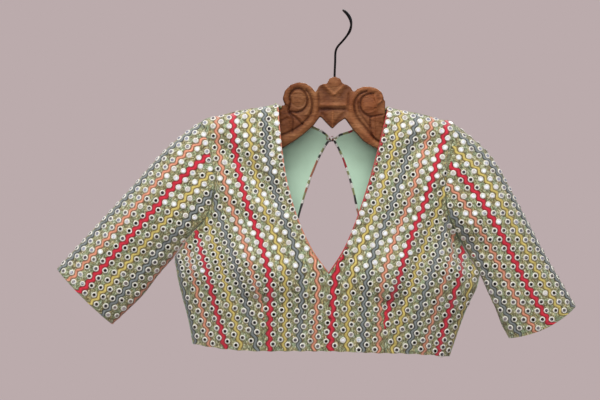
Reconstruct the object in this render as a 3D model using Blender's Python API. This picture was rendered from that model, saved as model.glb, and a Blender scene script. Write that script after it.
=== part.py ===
"""Cropped blouse with a deep V neck and elbow sleeves, on a carved wooden hanger.

The cloth pieces are thin walls through sections of the hanging garment. Every table is
in millimetres: x runs to the viewer's right, z up, and a depth is how far the cloth
stands in front of, or behind, the plane of the side and shoulder seams. The origin is
the underside of the hook's crown, where a rail carries the hanger.
"""
import math
from collections import namedtuple

import bmesh
import bpy
from mathutils import Vector

MM = 0.001
WALL = 2.0                # thickness of the embroidered cloth with its backing
LINING_WALL = 0.8         # thickness of the back lining
PIECE_GAP = 0.3           # clearance between pieces that are sewn or lie together
SEAM_BACK = PIECE_GAP / 2
MITRE_LIMIT = 0.4        # keeps the inner corner of a sharp seam short
SIDE_ROUND = 0.75         # exponent of the roundness beside a side seam
SLEEVE_ROUND = 0.6        # exponent of the roundness beside a sleeve's fold
PIPING_RADIUS = 1.0       # corded edge of the front V
BINDING_RADIUS = 1.5      # rolled binding of the back neckline and keyhole
EDGE_START = 0.7          # how far up its edge a cord starts, clear of its twin
NECK_SPREAD = 1.5         # the neckline meets the shoulder seam aslant
UNDERARM_EASE = 3.0       # extra clearance in the tight fold of the underarm

Edge = namedtuple("Edge", "x z front back")
Spot = namedtuple("Spot", "x z depth")
Level = namedtuple("Level", "name edge dart v_edge back_edge cuts")
Section = namedtuple("Section", "name top_x top_z bottom_x bottom_z front back bow cuts")

# One row for each level of the body, from the hem up to the shoulder seam. edge is the
# side seam and then the armhole seam, dart the line up through the waist dart, v_edge
# the middle of the front and then the V neck, back_edge the middle of the back, the
# keyhole and the neckline. cuts are the extra rows up to the next level.
LEFT_LEVELS = (
    Level("hem", Edge(-226, -498, 0, 0), Spot(-117, -507, 30), Spot(-22, -507, 30),
          Spot(-17, -508, 22), (0.5,)),
    Level("waist", Edge(-233, -460, 0, 0), Spot(-117, -474, 34), Spot(-22, -476, 31),
          Spot(-17, -476, 24), (0.5,)),
    Level("dart end", Edge(-242, -427, 0, 0), Spot(-118, -441, 38), Spot(-22, -446, 32),
          Spot(-17, -438, 25), (0.5,)),
    Level("bust", Edge(-249, -397, 0, 0), Spot(-123, -410, 41), Spot(-22, -417, 33),
          Spot(-51, -413, 26), (0.5,)),
    Level("underarm", Edge(-253, -368, 0, 0), Spot(-139, -374, 40), Spot(-22, -389, 33),
          Spot(-68, -378, 26), (0.5,)),
    Level("V upper", Edge(-230, -336, 14, 11), Spot(-150, -346, 36), Spot(-46, -355, 31),
          Spot(-71, -345, 25), (0.5,)),
    Level("armhole low", Edge(-204, -307, 22, 17), Spot(-160, -312, 31),
          Spot(-67, -309, 28), Spot(-65, -308, 25), (0.5,)),
    Level("armhole mid", Edge(-192, -263, 24, 19), Spot(-168, -265, 27),
          Spot(-82, -259, 25), Spot(-51, -260, 24), (0.5,)),
    Level("armhole high", Edge(-197, -219, 22, 18), Spot(-178, -216, 24),
          Spot(-90, -209, 23), Spot(-34, -218, 23), (0.5,)),
    Level("hanger", Edge(-205, -183, 17, 14), Spot(-187, -178, 20), Spot(-94, -170, 20),
          Spot(-19, -192, 22), (0.5,)),
    Level("ridge", Edge(-211, -171, 10, 9), Spot(-190, -163, 12), Spot(-96, -146, 12),
          Spot(-72, -153, 17), (0.5,)),
    Level("shoulder", Edge(-214, -165, 0, 0), Spot(-190, -157, 0), Spot(-98, -138, 0),
          Spot(-98, -138, 0), ()),
)
RIGHT_LEVELS = (
    Level("hem", Edge(160, -518, 0, 0), Spot(59, -510, 30), Spot(-22, -507, 30),
          Spot(-17, -508, 22), (0.5,)),
    Level("waist", Edge(178, -466, 0, 0), Spot(59, -477, 34), Spot(-22, -476, 31),
          Spot(-17, -476, 24), (0.5,)),
    Level("dart end", Edge(190, -437, 0, 0), Spot(59, -446, 38), Spot(-22, -446, 32),
          Spot(-17, -438, 25), (0.5,)),
    Level("bust", Edge(201, -415, 0, 0), Spot(65, -415, 41), Spot(-22, -417, 33),
          Spot(15, -413, 26), (0.5,)),
    Level("underarm", Edge(206, -394, 0, 0), Spot(85, -381, 40), Spot(-22, -389, 33),
          Spot(31, -378, 26), (0.5,)),
    Level("V upper", Edge(178, -348, 14, 11), Spot(103, -348, 36), Spot(0, -354, 31),
          Spot(32, -345, 25), (0.5,)),
    Level("armhole low", Edge(158, -309, 22, 17), Spot(117, -311, 31),
          Spot(19, -309, 28), Spot(23, -308, 25), (0.5,)),
    Level("armhole mid", Edge(152, -268, 24, 19), Spot(130, -263, 27),
          Spot(36, -258, 25), Spot(12, -260, 24), (0.5,)),
    Level("armhole high", Edge(159, -217, 22, 18), Spot(141, -214, 24),
          Spot(50, -209, 23), Spot(-2, -218, 23), (0.5,)),
    Level("hanger", Edge(165, -184, 17, 14), Spot(148, -180, 20), Spot(59, -171, 20),
          Spot(-15, -192, 22), (0.5,)),
    Level("ridge", Edge(169, -176, 10, 9), Spot(150, -169, 12), Spot(64, -151, 12),
          Spot(40, -157, 17), (0.5,)),
    Level("shoulder", Edge(170, -170, 0, 0), Spot(150, -162, 0), Spot(65, -143, 0),
          Spot(65, -143, 0), ()),
)
UNDERARM = 4              # level where the side seam ends and the armhole begins
KEYHOLE_END = 2           # level where the keyhole closes into the back's middle seam
CLOSURE = 9               # level of the hook that joins the two back corners

# One row for each cross-section of a sleeve, from the armhole to the cuff: the ends of
# the flat sleeve, its depth in front and behind, and how far the front of the edge
# hangs below the line between the ends.
LEFT_SLEEVE = (
    Section("upper arm", -264, -205, -276, -394, 26, 21, 2, (0.5,)),
    Section("middle", -318, -265, -298, -423, 24, 20, 2, (0.5,)),
    Section("elbow", -374, -326, -322, -447, 22, 19, 1, (0.5,)),
    Section("cuff", -429, -386, -346, -469, 21, 19, 1, ()),
)
RIGHT_SLEEVE = (
    Section("upper arm", 224, -220, 218, -422, 26, 21, 2, (0.5,)),
    Section("middle", 265, -293, 229, -446, 24, 20, 4, (0.5,)),
    Section("elbow", 305, -368, 238, -470, 22, 19, 7, (0.5,)),
    Section("cuff", 349, -442, 249, -490, 21, 19, 8, ()),
)
ARMHOLE_CUTS = (0.35, 0.7)

# Columns across a half of the body, from its edge to the dart line and on to the middle.
SIDE_COLUMNS = (0.0, 0.035, 0.12, 0.3, 0.6)
MIDDLE_COLUMNS = (0.0, 0.25, 0.5, 0.75, 1.0)
BACK_COLUMNS = (0.0, 0.02, 0.07, 0.18, 0.4, 0.7, 1.0)
LINING_SIDE_COLUMNS = 2   # columns that the lining leaves free beside the side seam
LINING_TOP_ROWS = 2       # rows that it leaves free below the shoulder seam

# The carved hanger, seen from the front: its upper edge from left to right over both
# scrolls and the leaf-shaped middle block, and its lower edge back again.
WOOD_TOP = ((-79, -144), (-88, -138), (-90.5, -131), (-87, -119), (-78, -110),
            (-67, -106.5), (-56, -108), (-47, -114), (-41.5, -121.5), (-39, -118),
            (-36, -112), (-30, -109), (-24, -108.5), (-20.5, -101), (-12.5, -98),
            (-4.5, -101), (-1, -108.5), (5, -110), (11, -114), (15.5, -121.5),
            (21, -116.5), (30, -113), (40, -113), (51, -116), (58, -122),
            (60.5, -130), (57, -137), (47.5, -147))
WOOD_LOWER = ((46, -204), (31, -195), (15, -177), (3, -160), (-7, -167), (-16, -176),
              (-25, -167), (-34, -157), (-45, -172), (-60, -185), (-78, -197))
BLOCK_TOP = 14            # point of the upper edge where the hook enters the wood
WOOD_HALF = 10.5
SCROLL_DISC_RADIUS = 11.5
SCROLL_DISC_RAISE = 2.0
SCROLL_DISCS = ((-67, -134), (38, -140))
Arm = namedtuple("Arm", "x top bottom half")
LEFT_ARM = (Arm(-74, -140, -192, 8.5), Arm(-92, -146, -202, 8.5), Arm(-120, -149.5, -207, 9),
            Arm(-150, -156.5, -205, 9), Arm(-180, -164, -198, 8.5), Arm(-198, -170, -189, 6))
RIGHT_ARM = (Arm(44, -149, -200, 8.5), Arm(62, -153, -208, 8.5), Arm(90, -155, -212, 9),
             Arm(118, -161, -209, 9), Arm(142, -167.5, -201, 8.5), Arm(158, -173, -192, 6))
ARM_SIDES = 12

# The iron hook, bent from a round bar. The front limb bows to the right, the crown goes
# over the rail from front to back, and the tip comes down behind the front limb.
HOOK_RADIUS = 1.65
HOOK_ROUTE = ((-12.6, 0, -116), (-12.6, 0, -96), (-11.8, 0, -76), (-11.2, -0.5, -61),
              (-8.0, -4, -53), (-1, -11, -45.5), (6, -17.5, -37), (10.5, -21.5, -27.5),
              (11.8, -22, -19), (10.3, -19.5, -11), (6.2, -13.5, -4), (2.2, -6.5, 0.4),
              (0.6, 0, 1.8), (2.6, 7, 0.4), (7.2, 14, -4), (11.4, 20, -11),
              (13.0, 22.3, -19), (11.8, 21.8, -27), (9.0, 19.5, -33))
HOOK_STEPS = 4            # points from one route point to the next
TIP_TAPER = 8             # last points over which the bar thins to its tip
HOLE_RADIUS = HOOK_RADIUS + PIECE_GAP
HOLE_DEPTH = 22
FASTENER_HEIGHT = 6.0     # the small hook that joins the back corners at the neck
FASTENER_HALF = 0.8

COLOURS = {
    "cloth": ((0.40, 0.42, 0.29), 0.7, 0.0),
    "lining": ((0.31, 0.50, 0.36), 0.6, 0.0),
    "salmon": ((0.78, 0.33, 0.2), 0.7, 0.0),
    "red": ((0.62, 0.03, 0.05), 0.7, 0.0),
    "wood": ((0.24, 0.10, 0.05), 0.45, 0.0),
    "iron": ((0.02, 0.02, 0.02), 0.5, 0.8),
}


def clear_scene():
    """Empty the file of objects."""
    for thing in list(bpy.data.objects):
        bpy.data.objects.remove(thing, do_unlink=True)


def material(name):
    """One plain finish with the part's colour."""
    finish = bpy.data.materials.get(name)
    if finish:
        return finish
    colour, roughness, metallic = COLOURS[name]
    finish = bpy.data.materials.new(name)
    finish.use_nodes = True
    shader = finish.node_tree.nodes["Principled BSDF"]
    shader.inputs["Base Color"].default_value = (*colour, 1.0)
    shader.inputs["Roughness"].default_value = roughness
    shader.inputs["Metallic"].default_value = metallic
    return finish


def smooth_between(points, corners, place):
    """Point at a place (row number and fraction) on a curve that may turn at corners."""
    index = min(int(place), len(points) - 2)
    t = place - index
    here, after = points[index], points[index + 1]
    before = points[index - 1] if index > 0 and index not in corners else here
    beyond = points[index + 2] if index + 2 < len(points) and index + 1 not in corners else after
    leave = (after - before) * (0.5 if before is not here else 1.0)
    arrive = (beyond - here) * (0.5 if beyond is not after else 1.0)
    return (here * (2 * t**3 - 3 * t**2 + 1) + leave * (t**3 - 2 * t**2 + t)
            + after * (-2 * t**3 + 3 * t**2) + arrive * (t**3 - t**2))


def row_places(levels):
    """Place of every row: each level and the cuts after it."""
    places = []
    for index, level in enumerate(levels):
        places.append(float(index))
        places += [index + cut for cut in level.cuts]
    return places


def across(edge, dart, u):
    """Cloth between the seam at the edge and the dart line: it rounds away at the seam."""
    lift = 2 * u - u * u
    flat = edge.lerp(dart, u)
    flat.z = edge.z + (dart.z - edge.z) * lift
    flat.y = edge.y + (dart.y - edge.y) * lift ** SIDE_ROUND
    return flat


def edge_side(before, after, sign_x):
    """Direction from an edge into its panel, seen from the front, square to the edge."""
    run = (after - before).normalized()
    side = Vector((run.z, 0, -run.x)) * sign_x
    return side.normalized()


def inset_edge(line, sign_x, distance):
    """An edge line moved into its panel by a distance, with mitred corners."""
    moved = []
    for index, point in enumerate(line):
        sides = []
        if index > 0:
            sides.append(edge_side(line[index - 1], point, sign_x))
        if index < len(line) - 1:
            sides.append(edge_side(point, line[index + 1], sign_x))
        mean = sum(sides, Vector()).normalized()
        moved.append(point + mean * distance / max(0.5, mean.dot(sides[0])))
    return moved


def edge_line(levels, spots, corners, start, end):
    """The points of an edge at every row from one level to another."""
    return [smooth_between(spots, corners, place) for place in row_places(levels)
            if start <= place <= end]


def v_edge_spots(levels):
    """The middle of the front and the V neck."""
    return [Vector((row.v_edge.x, -row.v_edge.depth, row.v_edge.z)) for row in levels]


def back_edge_spots(levels):
    """The middle seam of the back, the keyhole and the neckline."""
    return [Vector((row.back_edge.x, row.back_edge.depth, row.back_edge.z)) for row in levels]


def front_half(levels, sign_x):
    """Outer surface of half of the front, row by row from the hem, edge to middle."""
    edges = [Vector((row.edge.x, -row.edge.front, row.edge.z)) for row in levels]
    darts = [Vector((row.dart.x, -row.dart.depth, row.dart.z)) for row in levels]
    drawn = 2 * PIPING_RADIUS + PIECE_GAP
    spots, top = v_edge_spots(levels), len(levels) - 1
    fold = edge_line(levels, spots, {UNDERARM}, 0, UNDERARM)
    neck = edge_line(levels, spots, {UNDERARM}, UNDERARM, top)
    slope = edge_side(neck[0], neck[1], sign_x)
    fold[-1] = fold[-1] - Vector((0, 0, drawn / abs(slope.z)))
    middles = fold + inset_edge(neck, sign_x, drawn)[1:]
    grid = []
    for place, middle in zip(row_places(levels), middles):
        edge = smooth_between(edges, {UNDERARM}, place)
        dart = smooth_between(darts, (), place)
        row = [across(edge, dart, u) for u in SIDE_COLUMNS]
        for u in MIDDLE_COLUMNS:
            point = dart.lerp(middle, u)
            point.y = dart.y + (middle.y - dart.y) * (0.5 - 0.5 * math.cos(math.pi * u))
            row.append(point)
        grid.append(row)
    return grid


def seam_height(seam, x):
    """Height of the shoulder seam at x."""
    for one, two in zip(seam, seam[1:]):
        if min(one.x, two.x) <= x <= max(one.x, two.x):
            return one.z + (two.z - one.z) * (x - one.x) / (two.x - one.x)
    return seam[-1].z


def back_half(levels, sign_x, shoulder_seam):
    """Outer surface of half of the back, row by row from the hem, edge to middle."""
    edges = [Vector((row.edge.x, row.edge.back, row.edge.z)) for row in levels]
    drawn = 2 * BINDING_RADIUS + PIECE_GAP
    spots, top = back_edge_spots(levels), len(levels) - 1
    corners = {KEYHOLE_END, CLOSURE}
    seam = edge_line(levels, spots, corners, 0, KEYHOLE_END)
    hole = edge_line(levels, spots, corners, KEYHOLE_END, top)
    slope = edge_side(hole[0], hole[1], sign_x)
    seam = [point + Vector((sign_x * SEAM_BACK, 0, 0)) for point in seam]
    seam[-1].z -= drawn / abs(slope.z)
    middles = seam + inset_edge(hole, sign_x, drawn)[1:]
    grid = []
    for place, middle in zip(row_places(levels), middles):
        edge = smooth_between(edges, {UNDERARM}, place)
        grid.append([across(edge, middle, u) for u in BACK_COLUMNS])
    corner_x = levels[-1].back_edge.x + sign_x * drawn * NECK_SPREAD
    edge_x = levels[-1].edge.x
    for point, u in zip(grid[-1], BACK_COLUMNS):
        point.x = edge_x + (corner_x - edge_x) * u
        point.y = 0.0
        point.z = seam_height(shoulder_seam, point.x)
    return grid


def sleeve_rings(front, back, sections):
    """Outer surface of a sleeve: closed rings from the armhole to the cuff."""
    first = len(front) - sum(1 for place in row_places(LEFT_LEVELS) if place >= UNDERARM)
    front_side = [row[0] for row in front[first:]][::-1]
    back_side = [row[0] for row in back[first:]][::-1]
    lengths = [0.0]
    for one, two in zip(front_side, front_side[1:]):
        lengths.append(lengths[-1] + (two - one).length)
    fractions = [length / lengths[-1] for length in lengths]
    axis = Vector((sections[-1].top_x + sections[-1].bottom_x - 2 * front_side[0].x, 0,
                   sections[-1].top_z + sections[-1].bottom_z - 2 * front_side[0].z)).normalized()

    def section_side(section, depth, bow):
        top = Vector((section.top_x, 0, section.top_z))
        bottom = Vector((section.bottom_x, 0, section.bottom_z))
        side = []
        for w in fractions:
            hump = max(0.0, 4 * w * (1 - w))
            point = top.lerp(bottom, w) + axis * bow * hump
            point.y = depth * hump ** SLEEVE_ROUND
            side.append(point)
        return side

    fronts = [front_side] + [section_side(s, -s.front, s.bow) for s in sections]
    backs = [back_side] + [section_side(s, s.back, -s.bow) for s in sections]
    places = [0.0] + list(ARMHOLE_CUTS)
    for index, section in enumerate(sections):
        places.append(index + 1.0)
        places += [index + 1.0 + cut for cut in section.cuts]
    rings = []
    for place in places:
        ring = [smooth_between([side[j] for side in fronts], (), place)
                for j in range(len(fractions))]
        ring += [smooth_between([side[j] for side in backs], (), place)
                 for j in range(len(fractions) - 2, 0, -1)]
        rings.append(ring)
    return rings


def grid_normals(grid, closed, outward):
    """Unit normals of a grid of points, turned to the side that outward accepts."""
    normals = []
    last_row = len(grid) - 1
    for i, row in enumerate(grid):
        line = []
        count = len(row)
        for j in range(count):
            left = row[(j - 1) % count] if closed else row[max(j - 1, 0)]
            right = row[(j + 1) % count] if closed else row[min(j + 1, count - 1)]
            along = right - left
            up = grid[min(i + 1, last_row)][j] - grid[max(i - 1, 0)][j]
            normal = along.cross(up).normalized()
            line.append(normal if outward(normal, i, j) else -normal)
        normals.append(line)
    return normals


def mitre(normal, *neighbours):
    """Inward step of one wall along a seam's own normal."""
    lean = min(normal.dot(other) for other in neighbours)
    return -normal / max(MITRE_LIMIT, lean)


def flat_normal(*normals):
    """Mean of the normals, laid into the plane of the side and shoulder seams."""
    total = sum(normals, Vector())
    total.y = 0
    return total.normalized()


class Half:
    """One half of the body: front and back panels and the sleeve, with their steps in."""

    def __init__(self, levels, sections, sign_x):
        self.levels = levels
        self.sign = sign_x
        self.front = front_half(levels, sign_x)
        self.back = back_half(levels, sign_x, self.front[-1])
        self.rings = sleeve_rings(self.front, self.back, sections)
        centres = [sum(ring, Vector()) / len(ring) for ring in self.rings]
        front_n = grid_normals(self.front, False, lambda n, i, j: n.y < 0)
        back_n = grid_normals(self.back, False, lambda n, i, j: n.y > 0)
        ring_n = grid_normals(self.rings, True,
                              lambda n, i, j: n.dot(self.rings[i][j] - centres[i]) > 0)
        self.front_in = [[-n for n in row] for row in front_n]
        self.back_in = [[-n for n in row] for row in back_n]
        self.ring_in = [[-n for n in row] for row in ring_n]
        self.join_body_seams(front_n, back_n)
        self.join_armhole(front_n, back_n, ring_n)

    def join_body_seams(self, front_n, back_n):
        """Side seam below the underarm, and the shoulder seam: both pieces share a mitre."""
        self.first = len(self.front) - (len(self.rings[0]) // 2 + 1)
        for i in range(self.first + 1):
            step = mitre(flat_normal(front_n[i][0], back_n[i][0]), front_n[i][0], back_n[i][0])
            self.front_in[i][0] = self.back_in[i][0] = step
        for row_in, row_n in ((self.front_in[-1], front_n[-1]), (self.back_in[-1], back_n[-1])):
            for j, normal in enumerate(row_n):
                row_in[j] = mitre(flat_normal(normal), normal)

    def join_armhole(self, front_n, back_n, ring_n):
        """Armhole seam: the body and the sleeve share a mitre at each point."""
        rows = len(self.front) - self.first
        self.front_clear = {}
        self.back_clear = {}
        for k in range(rows):
            i = len(self.front) - 1 - k
            near, mirror = ring_n[0][k], ring_n[0][-k] if k else ring_n[0][0]
            ends = k in (0, rows - 1)
            for grid, steps, normals, ring_normal, j, clear, y_sign in (
                    (self.front, self.front_in, front_n, near, k, self.front_clear, -1),
                    (self.back, self.back_in, back_n, mirror, -k, self.back_clear, 1)):
                point, own = grid[i][0], normals[i][0]
                normal = (own + ring_normal).normalized()
                if ends:
                    below = i - 1 if k else i
                    own = flat_normal(front_n[below][0], back_n[below][0])
                    normal = flat_normal(own, near)
                step = mitre(normal, own, ring_normal)
                reach = y_sign * (point.y + step.y * WALL)
                if reach < 0:
                    step.y = -point.y / WALL
                j = k if ends else j
                steps[i][0] = self.ring_in[0][j] = step
                seam = grid[min(i + 1, len(grid) - 1)][0] - grid[i - 1][0]
                if k == rows - 1:
                    seam = grid[i + 1][0] - point
                aside = normal.cross(seam).normalized()
                if k == 0:
                    aside.y = 0
                    aside.normalize()
                if aside.dot(grid[i][2] - point) < 0:
                    aside = -aside
                if k == rows - 1:
                    aside = -own
                ease = UNDERARM_EASE if k >= rows - 2 else 1.0
                clear[i] = aside * SEAM_BACK * ease


def drawn_back(grid, first, side_y, clear):
    """Small steps that hold a panel clear of its neighbours along its seams."""
    shifts = [[Vector() for _ in row] for row in grid]
    for i in range(len(grid)):
        if i <= first:
            shifts[i][0] += Vector((0, side_y * SEAM_BACK, 0))
        if i >= first:
            shifts[i][0] += clear[i]
    for shift in shifts[-1]:
        shift.y = side_y * SEAM_BACK
    return shifts


def wall_mesh(name, finish, layers, faces):
    """Closed wall between an outer and an inner layer of points over the same faces.

    A rim is always split from its lower outer point to its upper inner point, so that
    the rims of two pieces sewn together are alike and keep their gap.
    """
    outer, inner = layers
    count = len(outer)
    edges = {}
    for face in faces:
        for a, b in zip(face, face[1:] + face[:1]):
            edges[(a, b)] = edges.get((a, b), 0) + 1
    shell = []
    for a, b, c, d in faces:
        shell += [(a, b, c), (a, c, d)]
    shell += [tuple(count + v for v in reversed(face)) for face in shell]
    for a, b in edges:
        if (b, a) in edges:
            continue
        if outer[a].z <= outer[b].z:
            shell += [(b, a, count + b), (a, count + a, count + b)]
        else:
            shell += [(b, a, count + a), (b, count + a, count + b)]
    mesh = bpy.data.meshes.new(name)
    mesh.from_pydata([tuple(p * MM) for p in outer + inner], [], shell)
    return add_piece(name, mesh, finish)


def add_piece(name, mesh, finish):
    """Put a mesh in the scene, with its faces pointing out and its own finish."""
    work = bmesh.new()
    work.from_mesh(mesh)
    bmesh.ops.recalc_face_normals(work, faces=work.faces)
    if work.calc_volume(signed=True) < 0:
        bmesh.ops.reverse_faces(work, faces=work.faces)
    work.to_mesh(mesh)
    work.free()
    mesh.materials.append(material(finish))
    mesh.shade_smooth()
    mesh.set_sharp_from_angle(angle=math.radians(40))
    piece = bpy.data.objects.new(name, mesh)
    bpy.context.scene.collection.objects.link(piece)
    return piece


def grid_faces(rows, columns, closed=False, start=0):
    """Quads of a grid whose points are numbered row by row."""
    faces = []
    for i in range(rows - 1):
        for j in range(columns if closed else columns - 1):
            k = (j + 1) % columns
            faces.append([start + i * columns + j, start + i * columns + k,
                          start + (i + 1) * columns + k, start + (i + 1) * columns + j])
    return faces


def build_front(left, right):
    """The front, cut in one piece on the fold, with the V neck between its two halves."""
    rows, columns = len(left.front), len(left.front[0])
    outer, inner, number = [], [], {}
    for half, key in ((left, 0), (right, 1)):
        shifts = drawn_back(half.front, half.first, -1, half.front_clear)
        for i in range(rows):
            for j in range(columns):
                shared = j == columns - 1 and i <= half.first
                if shared and key == 1:
                    number[(1, i, j)] = number[(0, i, j)]
                    continue
                number[(key, i, j)] = len(outer)
                step = half.front_in[i][j]
                if shared:
                    step = (step + right.front_in[i][j]).normalized()
                outer.append(half.front[i][j] + shifts[i][j])
                inner.append(half.front[i][j] + shifts[i][j] + step * WALL)
    faces = []
    for key in (0, 1):
        for i in range(rows - 1):
            for j in range(columns - 1):
                face = [number[(key, i, j)], number[(key, i, j + 1)],
                        number[(key, i + 1, j + 1)], number[(key, i + 1, j)]]
                faces.append(face if key == 0 else face[::-1])
    return wall_mesh("front", "cloth", (outer, inner), faces)


def build_back(half, side):
    """One half of the back, from the side seam to the keyhole."""
    shifts = drawn_back(half.back, half.first, 1, half.back_clear)
    outer, inner = [], []
    for row, steps, moves in zip(half.back, half.back_in, shifts):
        for point, step, move in zip(row, steps, moves):
            outer.append(point + move)
            inner.append(point + move + step * WALL)
    faces = grid_faces(len(half.back), len(half.back[0]))
    return wall_mesh("back_" + side, "cloth", (outer, inner), faces)


def build_lining(half, side):
    """The mint lining of one half of the back, a thinner wall just inside it."""
    near, far = WALL + PIECE_GAP, WALL + PIECE_GAP + LINING_WALL
    outer, inner = [], []
    rows = half.back[:-LINING_TOP_ROWS]
    for i, row in enumerate(rows):
        for j in range(LINING_SIDE_COLUMNS, len(row)):
            point, step = row[j], half.back_in[i][j]
            aside = Vector((half.sign * SEAM_BACK if j == len(row) - 1 else 0, 0, 0))
            outer.append(point + aside + step * near)
            inner.append(point + aside + step * far)
    faces = grid_faces(len(rows), len(rows[0]) - LINING_SIDE_COLUMNS)
    return wall_mesh("back_lining_" + side, "lining", (outer, inner), faces)


def build_sleeve(half, side):
    """One sleeve, a tube from the armhole seam to the cuff."""
    outer, inner = [], []
    last = len(half.front) - 1
    for k, (ring, steps) in enumerate(zip(half.rings, half.ring_in)):
        for j, (point, step) in enumerate(zip(ring, steps)):
            move = Vector()
            if k == 0 and j <= last - half.first:
                move = -half.front_clear[last - j]
            elif k == 0:
                move = -half.back_clear[last - (len(ring) - j)]
            outer.append(point + move)
            inner.append(point + move + step * WALL)
    faces = grid_faces(len(half.rings), len(half.rings[0]), closed=True)
    return wall_mesh("sleeve_" + side, "cloth", (outer, inner), faces)


def build_rod(name, finish, points, radius, sides_level=2, radii=None):
    """A round bar or cord along points, with closed ends."""
    curve = bpy.data.curves.new(name, "CURVE")
    curve.dimensions = "3D"
    curve.bevel_depth = radius * MM
    curve.bevel_resolution = sides_level
    curve.use_fill_caps = True
    spline = curve.splines.new("POLY")
    spline.points.add(len(points) - 1)
    for index, (slot, point) in enumerate(zip(spline.points, points)):
        slot.co = (*(Vector(point) * MM), 1.0)
        slot.radius = radii[index] if radii else 1.0
    curve.materials.append(material(finish))
    rod = bpy.data.objects.new(name, curve)
    bpy.context.scene.collection.objects.link(rod)
    return rod


def edge_cord(half, spots, corners, start, radius, spread):
    """Route of a cord along an edge, in the middle of the wall's thickness."""
    corner = spots[-1].copy()
    line = edge_line(half.levels, spots, corners, start, len(half.levels) - 1)
    route = inset_edge(line, half.sign, radius)
    side = 1 if route[0].y < 0 else -1
    for point in route:
        point.y += side * WALL / 2
    route[0] += (route[1] - route[0]).normalized() * EDGE_START
    route[-1] = corner + Vector((half.sign * radius * spread, 0, 0))
    route[-1].y = -side * (radius + PIECE_GAP)
    return route


def build_piping(half, side, finish):
    """The corded edge of the V neck, from the tip up to the shoulder."""
    route = edge_cord(half, v_edge_spots(half.levels), {UNDERARM}, UNDERARM,
                      PIPING_RADIUS, 1.0)
    return build_rod("front_edge_" + side, finish, route, PIPING_RADIUS, 1)


def build_binding(half, side):
    """The rolled binding of the back neckline and the keyhole."""
    route = edge_cord(half, back_edge_spots(half.levels), {KEYHOLE_END, CLOSURE},
                      KEYHOLE_END, BINDING_RADIUS, NECK_SPREAD)
    return build_rod("back_edge_" + side, "cloth", route, BINDING_RADIUS, 1)


def polygon_prism(name, outline, low_y, high_y, finish):
    """Straight solid of an outline drawn in the front view."""
    work = bmesh.new()
    ring = [work.verts.new(Vector((x, low_y, z)) * MM) for x, z in outline]
    face = work.faces.new(ring)
    grown = bmesh.ops.extrude_face_region(work, geom=[face])
    moved = [item for item in grown["geom"] if isinstance(item, bmesh.types.BMVert)]
    bmesh.ops.translate(work, verts=moved, vec=Vector((0, high_y - low_y, 0)) * MM)
    mesh = bpy.data.meshes.new(name)
    work.to_mesh(mesh)
    work.free()
    return add_piece(name, mesh, finish)


def cylinder(name, centre, axis_y, radius, half_length, sides, finish):
    """Round solid along Y, or upright."""
    work = bmesh.new()
    bmesh.ops.create_cone(work, cap_ends=True, segments=sides, radius1=radius * MM,
                          radius2=radius * MM, depth=2 * half_length * MM)
    if axis_y:
        for vert in work.verts:
            vert.co = Vector((vert.co.x, vert.co.z, vert.co.y))
    bmesh.ops.translate(work, verts=work.verts, vec=Vector(centre) * MM)
    mesh = bpy.data.meshes.new(name)
    work.to_mesh(mesh)
    work.free()
    return add_piece(name, mesh, finish)


def arm_loft(name, table):
    """A tapering arm of the hanger, with a rounded upper and lower edge."""
    points = []
    for row in table:
        middle, reach = (row.top + row.bottom) / 2, (row.top - row.bottom) / 2
        for k in range(ARM_SIDES):
            turn = 2 * math.pi * k / ARM_SIDES
            y = row.half * math.copysign(abs(math.cos(turn)) ** 0.75, math.cos(turn))
            points.append(Vector((row.x, y, middle + reach * math.sin(turn))))
    faces = [tuple(face) for face in grid_faces(len(table), ARM_SIDES, closed=True)]
    faces.append(tuple(range(ARM_SIDES)))
    faces.append(tuple(range(len(points) - ARM_SIDES, len(points))))
    mesh = bpy.data.meshes.new(name)
    mesh.from_pydata([tuple(p * MM) for p in points], [], faces)
    return add_piece(name, mesh, "wood")


def helper(piece):
    """Leave a shape out of the part: it only adds to or cuts another."""
    piece.hide_render = True
    piece.display_type = "WIRE"
    return piece


def combine(piece, other, operation):
    """Add a shape to a piece, or cut it away."""
    change = piece.modifiers.new(other.name, "BOOLEAN")
    change.operation = operation
    change.object = helper(other)
    change.solver = "EXACT"


def build_hanger():
    """The carved hanger: middle block and scrolls, two arms, and the hook's hole."""
    outline = list(WOOD_TOP) + list(WOOD_LOWER)
    wood = polygon_prism("hanger_wood", outline, -WOOD_HALF, WOOD_HALF, "wood")
    combine(wood, arm_loft("arm_shape_left", LEFT_ARM), "UNION")
    combine(wood, arm_loft("arm_shape_right", RIGHT_ARM), "UNION")
    for index, (x, z) in enumerate(SCROLL_DISCS):
        disc = cylinder("disc_shape_%d" % index, (x, 0, z), True, SCROLL_DISC_RADIUS,
                        WOOD_HALF + SCROLL_DISC_RAISE, 20, "wood")
        combine(wood, disc, "UNION")
    hook_x = HOOK_ROUTE[0][0]
    hole = cylinder("hook_hole", (hook_x, 0, WOOD_TOP[BLOCK_TOP][1]), False, HOLE_RADIUS,
                    HOLE_DEPTH, 12, "wood")
    combine(wood, hole, "DIFFERENCE")
    return wood


def build_hook():
    """The iron hook, thinning to its tip."""
    route = [Vector(point) for point in HOOK_ROUTE]
    places = [i / HOOK_STEPS for i in range((len(route) - 1) * HOOK_STEPS + 1)]
    points = [smooth_between(route, (), place) for place in places]
    radii = [min(1.0, 0.35 + 0.65 * (len(points) - 1 - i) / TIP_TAPER)
             for i in range(len(points))]
    return build_rod("hook", "iron", points, HOOK_RADIUS, 2, radii)


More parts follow.
